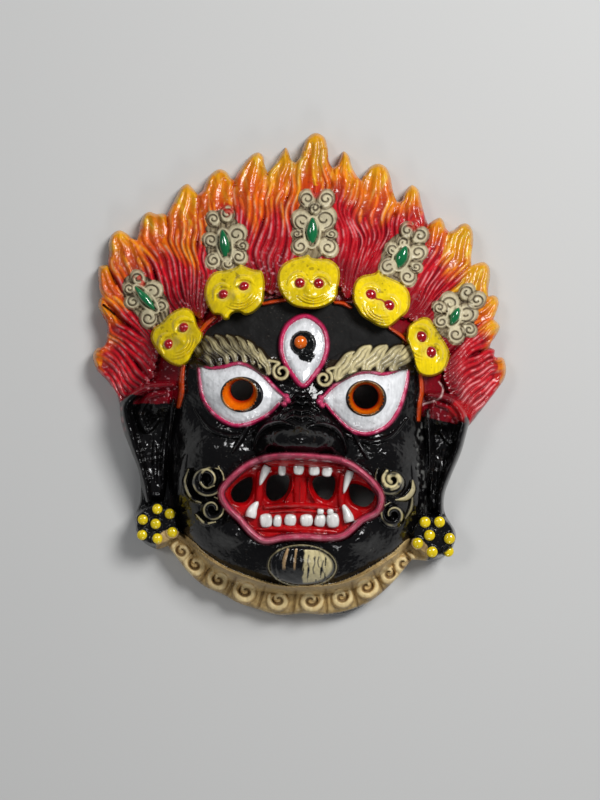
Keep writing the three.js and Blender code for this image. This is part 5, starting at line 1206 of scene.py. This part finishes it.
broad = ranged(marks, spots(marks, place, 95, 3), 0.3, 0.7, 0.78, 1.12)
stretched = joined(marks, "ShaderNodeMapping",
                   {"Vector": place, "Scale": (1.0, 0.28, 1.0), "Rotation": (0, 0, 0.5)}).outputs[0]
streaks = ranged(marks, spots(marks, stretched, 900, 3), 0.3, 0.7, 0.84, 1.1)
tone = sums(marks, "MULTIPLY", broad, streaks)
# Painted shade: where the crest is low, in the grooves, the colour is darkened to half.
groove = ranged(marks, inputs.outputs["Crest"], 0.0, 0.5, 0.5, 1.0)
tone = sums(marks, "MULTIPLY", tone, groove)
grey = joined(marks, "ShaderNodeCombineColor", {0: tone, 1: tone, 2: tone}).outputs[0]
colour = blended(marks, 1.0, inputs.outputs["Colour"], grey, "MULTIPLY")
specks = ranged(marks, spots(marks, place, 620, 1), 0.69, 0.72)
specks = sums(marks, "MULTIPLY", specks, inputs.outputs["Wear"])
colour = blended(marks, sums(marks, "MULTIPLY", specks, 0.75), colour, (0.03, 0.015, 0.008, 1))
dust = ranged(marks, spots(marks, place, 1500, 2), 0.66, 0.74)
dust = sums(marks, "MULTIPLY", dust, ranged(marks, spots(marks, place, 60, 2), 0.45, 0.65, 0.0, 0.5))
colour = blended(marks, sums(marks, "MULTIPLY", dust, inputs.outputs["Wear"]), colour, (0.55, 0.5, 0.42, 1))
marks.links.new(colour, outputs.inputs["Colour"])
patches = ranged(marks, spots(marks, place, 210, 3), 0.3, 0.7, -0.04, 0.08)
marks.links.new(sums(marks, "ADD", sums(marks, "ADD", inputs.outputs["Gloss"], patches),
                     sums(marks, "MULTIPLY", dust, 0.3)),
                outputs.inputs["Roughness"])
skin = sums(marks, "ADD", sums(marks, "MULTIPLY", spots(marks, place, 420, 3), 1.0),
            sums(marks, "MULTIPLY", spots(marks, place, 1900, 2), 0.28))
bumped = joined(marks, "ShaderNodeBump", {"Strength": 0.5, "Distance": 0.00014, "Height": skin})
marks.links.new(bumped.outputs[0], outputs.inputs["Normal"])


def enamel(name, colour=None, gloss=0.2, wear=0.6, coat_weight=0.55):
    """An enamelled surface. Without a colour it takes the paint, crest and gloss laid on the mesh."""
    made = bpy.data.materials.new(name)
    made.use_nodes = True
    tree = made.node_tree
    shader = tree.nodes["Principled BSDF"]
    group = tree.nodes.new("ShaderNodeGroup")
    group.node_tree = marks
    group.inputs["Wear"].default_value = wear
    if colour is None:
        laid = {}
        for attribute, socket in (("paint", "Colour"), ("crest", "Crest"), ("gloss", "Gloss")):
            node = joined(tree, "ShaderNodeAttribute", attribute_name=attribute)
            laid[socket] = node.outputs["Color" if socket == "Colour" else "Fac"]
            tree.links.new(laid[socket], group.inputs[socket])
        # The black is thinner and shines less than the colours. Where the gloss is low there is no varnish.
        light = joined(tree, "ShaderNodeRGBToBW", {0: laid["Colour"]}).outputs[0]
        share = ranged(tree, light, 0.004, 0.05, 0.15, 1.0)
        varnish = sums(tree, "MULTIPLY", ranged(tree, laid["Gloss"], 0.2, 0.34, coat_weight, 0.0), share)
        tree.links.new(varnish, shader.inputs["Coat Weight"])
        shader.inputs["Specular IOR Level"].default_value = 0.36
    else:
        group.inputs["Colour"].default_value = (*colour, 1)
        group.inputs["Crest"].default_value = 1.0
        group.inputs["Gloss"].default_value = gloss
    tree.links.new(group.outputs["Colour"], shader.inputs["Base Color"])
    tree.links.new(group.outputs["Roughness"], shader.inputs["Roughness"])
    tree.links.new(group.outputs["Normal"], shader.inputs["Normal"])
    shader.inputs["Coat Weight"].default_value = coat_weight
    shader.inputs["Coat Roughness"].default_value = 0.12
    return made


painted = enamel("brushed_enamel", wear=0.3, coat_weight=0.35)
BACK_PAINT = srgb(34, 28, 27)
seam_left = np.vstack([SKIN_SEAMS[0], SKIN_SEAMS[2][1:], [(-6, 99), (-96, 99), (-96, -15)]])
seam_right = np.vstack([SKIN_SEAMS[1], [(96, -16.7), (96, 99), (-6, 99)], SKIN_SEAMS[2][::-1][:-1]])
seam_jaw = np.vstack([SKIN_SEAMS[3], [(96, -36), (96, -96), (-96, -96), (-96, -40)]])


def skin_part(points, triangles):
    middle = points[triangles].mean(1)
    part = np.zeros(len(triangles), int)
    for number, region in ((1, seam_left), (2, seam_right), (3, seam_jaw)):
        part[depth_near(region, middle[:, 0], middle[:, 1]) > 0] = number
    return part


part_front, part_back = skin_part(sheet, tri_front), skin_part(behind, tri_back)
for number, name in enumerate(("casting_face", "casting_crown_left", "casting_crown_right", "casting_jaw")):
    front, back = tri_front[part_front == number], tri_back[part_back == number]
    ways = np.vstack([front[:, [0, 1]], front[:, [1, 2]], front[:, [2, 0]]])
    code = ways[:, 0].astype(np.int64) * len(sheet) + ways[:, 1]
    other = ways[:, 1].astype(np.int64) * len(sheet) + ways[:, 0]
    rim = ways[~np.isin(code, other)]
    used_front, used_back = np.unique(front), np.unique(back)
    place_front = np.full(len(sheet), -1)
    place_front[used_front] = np.arange(len(used_front))
    place_back = np.full(len(behind), -1)
    place_back[used_back] = np.arange(len(used_back)) + len(used_front)
    a, b = rim[:, 0], rim[:, 1]
    used_foot = np.unique(rim)
    place_foot = np.full(fixed, -1)
    place_foot[used_foot] = np.arange(len(used_foot)) + len(used_front) + len(used_back)
    # Each step of the rim becomes two triangles down to the foot line and two on to the same step behind.
    walls = np.vstack([np.stack([place_front[a], place_foot[a], place_foot[b]], 1),
                       np.stack([place_front[a], place_foot[b], place_front[b]], 1),
                       np.stack([place_foot[a], place_back[a], place_back[b]], 1),
                       np.stack([place_foot[a], place_back[b], place_foot[b]], 1)])
    faces = np.vstack([place_front[front], walls, place_back[back][:, ::-1]])
    verts = np.vstack([front_xyz[used_front], back_xyz[used_back], foot_xyz[used_foot]])
    mesh = bpy.data.meshes.new(name)
    mesh.from_pydata(verts.tolist(), [], faces.tolist())
    wall_normals = np.zeros((len(sheet), 3))
    along_rim = front_xyz[b] - front_xyz[a]
    out_dir = np.stack([along_rim[:, 1], -along_rim[:, 0], np.zeros(len(a))], 1)
    np.add.at(wall_normals, a, out_dir)
    np.add.at(wall_normals, b, out_dir)
    wall_normals /= np.linalg.norm(wall_normals, axis=1)[:, None] + 1e-12
    loops = np.vstack([front_normals[front].reshape(-1, 3),
                       *[wall_normals[np.stack(corners, 1)].reshape(-1, 3)
                         for corners in ((a, a, b), (a, b, b)) * 2],
                       back_normals[back][:, ::-1].reshape(-1, 3)])
    mesh.shade_smooth()
    mesh.normals_split_custom_set(loops.tolist())
    colours = np.ones((len(verts), 4))
    colours[:len(used_front), :3] = paint[used_front]
    colours[len(used_front):, :3] = BACK_PAINT
    colours[-len(used_foot):, :3] = paint[used_foot] * 0.75
    mesh.attributes.new("paint", "FLOAT_COLOR", "POINT").data.foreach_set("color", colours.ravel())
    for attribute, laid, behind_value in (("crest", crest, 0.6), ("gloss", shine, 0.55)):
        values = np.concatenate([laid[used_front], np.full(len(used_back), behind_value), laid[used_foot]])
        mesh.attributes.new(attribute, "FLOAT", "POINT").data.foreach_set("value", values)
    mesh.materials.append(painted)
    casting = bpy.data.objects.new(name, mesh)
    bpy.context.scene.collection.objects.link(casting)
    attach(casting, "root")
    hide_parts("mask")


def surface(u, v):
    """Height of the carved front at a point of the drawing."""
    return level[np.argmin((U - u) ** 2 + (V - v) ** 2)]


def finished(made, name, material):
    """Settles a modelled piece: smooth, painted, named, and part of the mask."""
    made.name = made.data.name = name
    bpy.ops.object.transform_apply(location=True, rotation=True, scale=True)
    made.data.shade_smooth()
    made.data.materials.clear()
    made.data.materials.append(material)
    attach(made, "root")
    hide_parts("mask")
    return made


# Beads: round drops of paint over raised knobs, deep red in the skulls' eyes, orange in the third eye and
# lemon yellow on the earrings. Each is a shallow ball sunk a little in what it sits on.
def bead(name, u, v, radius, tall, material, sink=0.5, turn=0.0, long=1.0):
    bpy.ops.object.select_all(action="DESELECT")
    bpy.ops.mesh.primitive_uv_sphere_add(segments=32, ring_count=20, radius=1)
    made = bpy.context.object
    x, y, z = on_mask(np.float64(u), np.float64(v), surface(u, v))
    made.scale = (radius / 1000, radius * long / 1000, tall / 1000)
    made.rotation_euler = (0, 0, turn)
    made.location = (x, y, z + (tall * (1 - sink) - tall * 0.35) / 1000)
    return finished(made, name, material)


ruby = enamel("ruby_bead", srgb(158, 2, 14), 0.08, 0.05, 0.9)
for number, skull in enumerate(SKULLS):
    for side, (u, v) in zip("ab", skull["eyes"]):
        bead(f"skull_eye_{number + 1}{side}", u, v, (1.9, 1.9, 1.95, 2.1, 2.15)[number], 1.6, ruby)
amber = enamel("orange_bead", srgb(232, 104, 8), 0.12, 0.2, 0.8)
bead("third_eye_bead", -1.3, 11.9, 2.3, 1.7, amber)
lemon = enamel("lemon_bead", srgb(232, 204, 18), 0.16, 0.5, 0.6)
for number, earring in enumerate(EARRINGS):
    for count, (u, v) in enumerate(earring["beads"]):
        bead(f"earring_bead_{number + 1}{'abcdefg'[count]}", u, v, (1.95, 2.1)[number], 1.3, lemon)

# Stones: long green drops of enamel set in the leaf ornaments, pointed at both ends.
jade = enamel("green_stone", srgb(8, 110, 62), 0.1, 0.25, 0.9)
for number, ornament in enumerate(ORNAMENTS):
    (u, v), half, long = ornament["gem"]
    stone = bead(f"green_stone_{number + 1}", u, v, half, 2.0, jade, 0.2, ornament["turn"], long / half)
    points = np.array([p.co[:] for p in stone.data.vertices])
    centre = points.mean(0)
    turn = ornament["turn"]
    across, up = (points - centre)[:, 0], (points - centre)[:, 1]
    lengthwise = (up * math.cos(turn) - across * math.sin(turn)) / (long / 1000)
    axis = np.array([-math.sin(turn), math.cos(turn)])
    across = (points - centre)[:, :2] - np.outer((points - centre)[:, :2] @ axis, axis)
    narrow = 1 - 0.35 * np.abs(lengthwise)
    points[:, :2] = centre[:2] + np.outer((points - centre)[:, :2] @ axis, axis) + across * narrow[:, None]
    stone.data.vertices.foreach_set("co", points.ravel())

# Teeth: twelve blunt pegs in two rows and four long fangs, cast with the mouth. They are thickly painted
# white, so they are rounded and a little uneven.
ivory = enamel("tooth_enamel", srgb(232, 232, 228), 0.14, 0.25, 0.6)
TOOTH_DEPTH = 0.0034
FANG_STEPS, FANG_SIDES = 12, 16
TEETH = [(-6.3, -36.3, 2.7, 4.2), (-0.1, -35.7, 3.6, 4.2), (5.7, -35.8, 3.7, 4.1), (10.5, -36, 3.6, 4.2),
         (-11.6, -55.7, 4.3, 4.9), (-7.3, -55.6, 2.9, 4.3), (-2.5, -55.1, 4.1, 4.2), (3.6, -55, 4.4, 4.4),
         (8.7, -54.8, 3.8, 4.6), (13.5, -54.6, 4.4, 5.2), (8.7, -51.4, 2.4, 2.0), (12.4, -51.2, 2.3, 2.2)]
for number, (u, v, width, tall) in enumerate(TEETH):
    bpy.ops.object.select_all(action="DESELECT")
    bpy.ops.mesh.primitive_cube_add(size=1)
    tooth = bpy.context.object
    bpy.ops.object.mode_set(mode="EDIT")
    bpy.ops.mesh.select_all(action="SELECT")
    bpy.ops.mesh.subdivide(number_cuts=3)
    bpy.ops.object.mode_set(mode="OBJECT")
    rounding = tooth.modifiers.new("rounding", "SUBSURF")
    rounding.levels = 2
    bpy.ops.object.modifier_apply(modifier="rounding")
    points = np.array([p.co[:] for p in tooth.data.vertices])
    size = np.linalg.norm(points, axis=1)[:, None]
    points = mix(points, points / size * 0.55, 0.62)
    points[:, 0] *= 1 + 0.12 * math.sin(number * 2.1) * points[:, 1]
    tooth.data.vertices.foreach_set("co", points.ravel())
    x, y, z = on_mask(np.float64(u), np.float64(v), surface(u, v))
    tooth.scale = (width / 1000, tall / 1000, TOOTH_DEPTH)
    tooth.rotation_euler = (0, 0, 0.12 * math.sin(number * 3.7))
    tooth.location = (x, y, z + 0.0008)
    finished(tooth, f"tooth_{number + 1}", ivory)
FANGS = [[(-11.8, -35.2), (-13.2, -38.6), (-14.5, -42.6)], [(19.4, -35.8), (18.3, -39.6), (17.2, -44.4)],
         [(-17.6, -54.8), (-16.8, -51.6), (-14.8, -48.6)], [(19.9, -55), (18.8, -51.8), (16.9, -48.2)]]
for number, spine in enumerate(FANGS):
    line = curve(spine, FANG_STEPS)
    base_half = (1.9, 1.75, 2.5, 2.3)[number]
    rings = []
    for k, (u, v) in enumerate(line):
        share = k / (FANG_STEPS - 1)
        taper = math.sqrt(max(1 - share, 0)) * 0.85 + 0.15 * (1 - share)
        half = base_half * taper * mix(0.78, 1, min(1, share * 4)) + 0.06
        ahead = line[min(k + 1, FANG_STEPS - 1)] - line[max(k - 1, 0)]
        side = np.array([-ahead[1], ahead[0]]) / np.linalg.norm(ahead)
        z = surface(*line[0]) * (1 - share) + surface(*line[8]) * share
        for step in range(FANG_SIDES):
            angle = step * 2 * math.pi / FANG_SIDES
            at = np.array([u, v]) + side * half * math.cos(angle)
            rings.append(on_mask(at[0], at[1], z + 0.9 + half * 1.05 * math.sin(angle)))
    faces = []
    for k in range(FANG_STEPS - 1):
        ring = np.arange(FANG_SIDES) + FANG_SIDES * k
        after = np.roll(ring, -1)
        faces += np.stack([ring, after, after + FANG_SIDES, ring + FANG_SIDES], 1).tolist()
    faces += [list(range(FANG_SIDES))[::-1], list(range(len(rings) - FANG_SIDES, len(rings)))]
    mesh = bpy.data.meshes.new(f"fang_{number + 1}")
    mesh.from_pydata([tuple(r) for r in rings], [], faces)
    fang = bpy.data.objects.new(f"fang_{number + 1}", mesh)
    bpy.context.scene.collection.objects.link(fang)
    bpy.ops.object.select_all(action="DESELECT")
    fang.select_set(True)
    bpy.context.view_layer.objects.active = fang
    bpy.ops.object.mode_set(mode="EDIT")
    bpy.ops.mesh.select_all(action="SELECT")
    bpy.ops.mesh.normals_make_consistent(inside=False)
    bpy.ops.object.mode_set(mode="OBJECT")
    finished(fang, f"fang_{number + 1}", ivory)

# Studio: a plain pale floor, a soft main light from the upper right, weaker ones from the left and from below
# the chin, and a camera straight above, at the height of the point that the casting leans in to.
FLOOR_SIZE, FLOOR_COLOUR = 4, (0.58, 0.58, 0.57, 1)
LENS, TURNED = 37.6, math.radians(2.3)
LOOKS_AT = (-0.66, -9.83)
bpy.ops.object.select_all(action="DESELECT")
bpy.ops.mesh.primitive_plane_add(size=FLOOR_SIZE)
floor = bpy.context.object
floor.name = "floor"
paper = bpy.data.materials.new("pale_paper")
paper.use_nodes = True
paper_shader = paper.node_tree.nodes["Principled BSDF"]
paper_shader.inputs["Base Color"].default_value = FLOOR_COLOUR
paper_shader.inputs["Roughness"].default_value = 0.75
floor.data.materials.append(paper)
LIGHTS = [("key", (0.42, 0.42, 0.75), 0.32, 8.0), ("fill", (-0.5, 0.25, 0.9), 0.22, 1.5),
          ("low", (0.1, -0.7, 0.5), 0.18, 0.9)]
for name, spot, size, power in LIGHTS:
    lamp = bpy.data.lights.new(name, "AREA")
    lamp.size = size
    lamp.energy = power
    light = bpy.data.objects.new(name, lamp)
    light.location = spot
    light.rotation_euler = (Vector((0, 0, 0.02)) - Vector(spot)).to_track_quat("-Z", "Y").to_euler()
    bpy.context.scene.collection.objects.link(light)
world = bpy.data.worlds.new("studio")
world.use_nodes = True
sky = world.node_tree.nodes["Background"]
sky.inputs["Color"].default_value = (0.9, 0.93, 1, 1)
sky.inputs["Strength"].default_value = 0.12
bpy.context.scene.world = world
bpy.context.scene.view_settings.view_transform = "Standard"

lens = bpy.data.cameras.new("camera")
lens.sensor_fit = "VERTICAL"
lens.sensor_height = 24
lens.lens = LENS
camera = bpy.data.objects.new("camera", lens)
camera.location = ((LOOKS_AT[0] + shift_x) / 1000, (LOOKS_AT[1] + shift_y) / 1000, DRAFT_APEX / 1000)
camera.rotation_euler = (0, 0, TURNED)
bpy.context.scene.collection.objects.link(camera)
bpy.context.scene.camera = camera
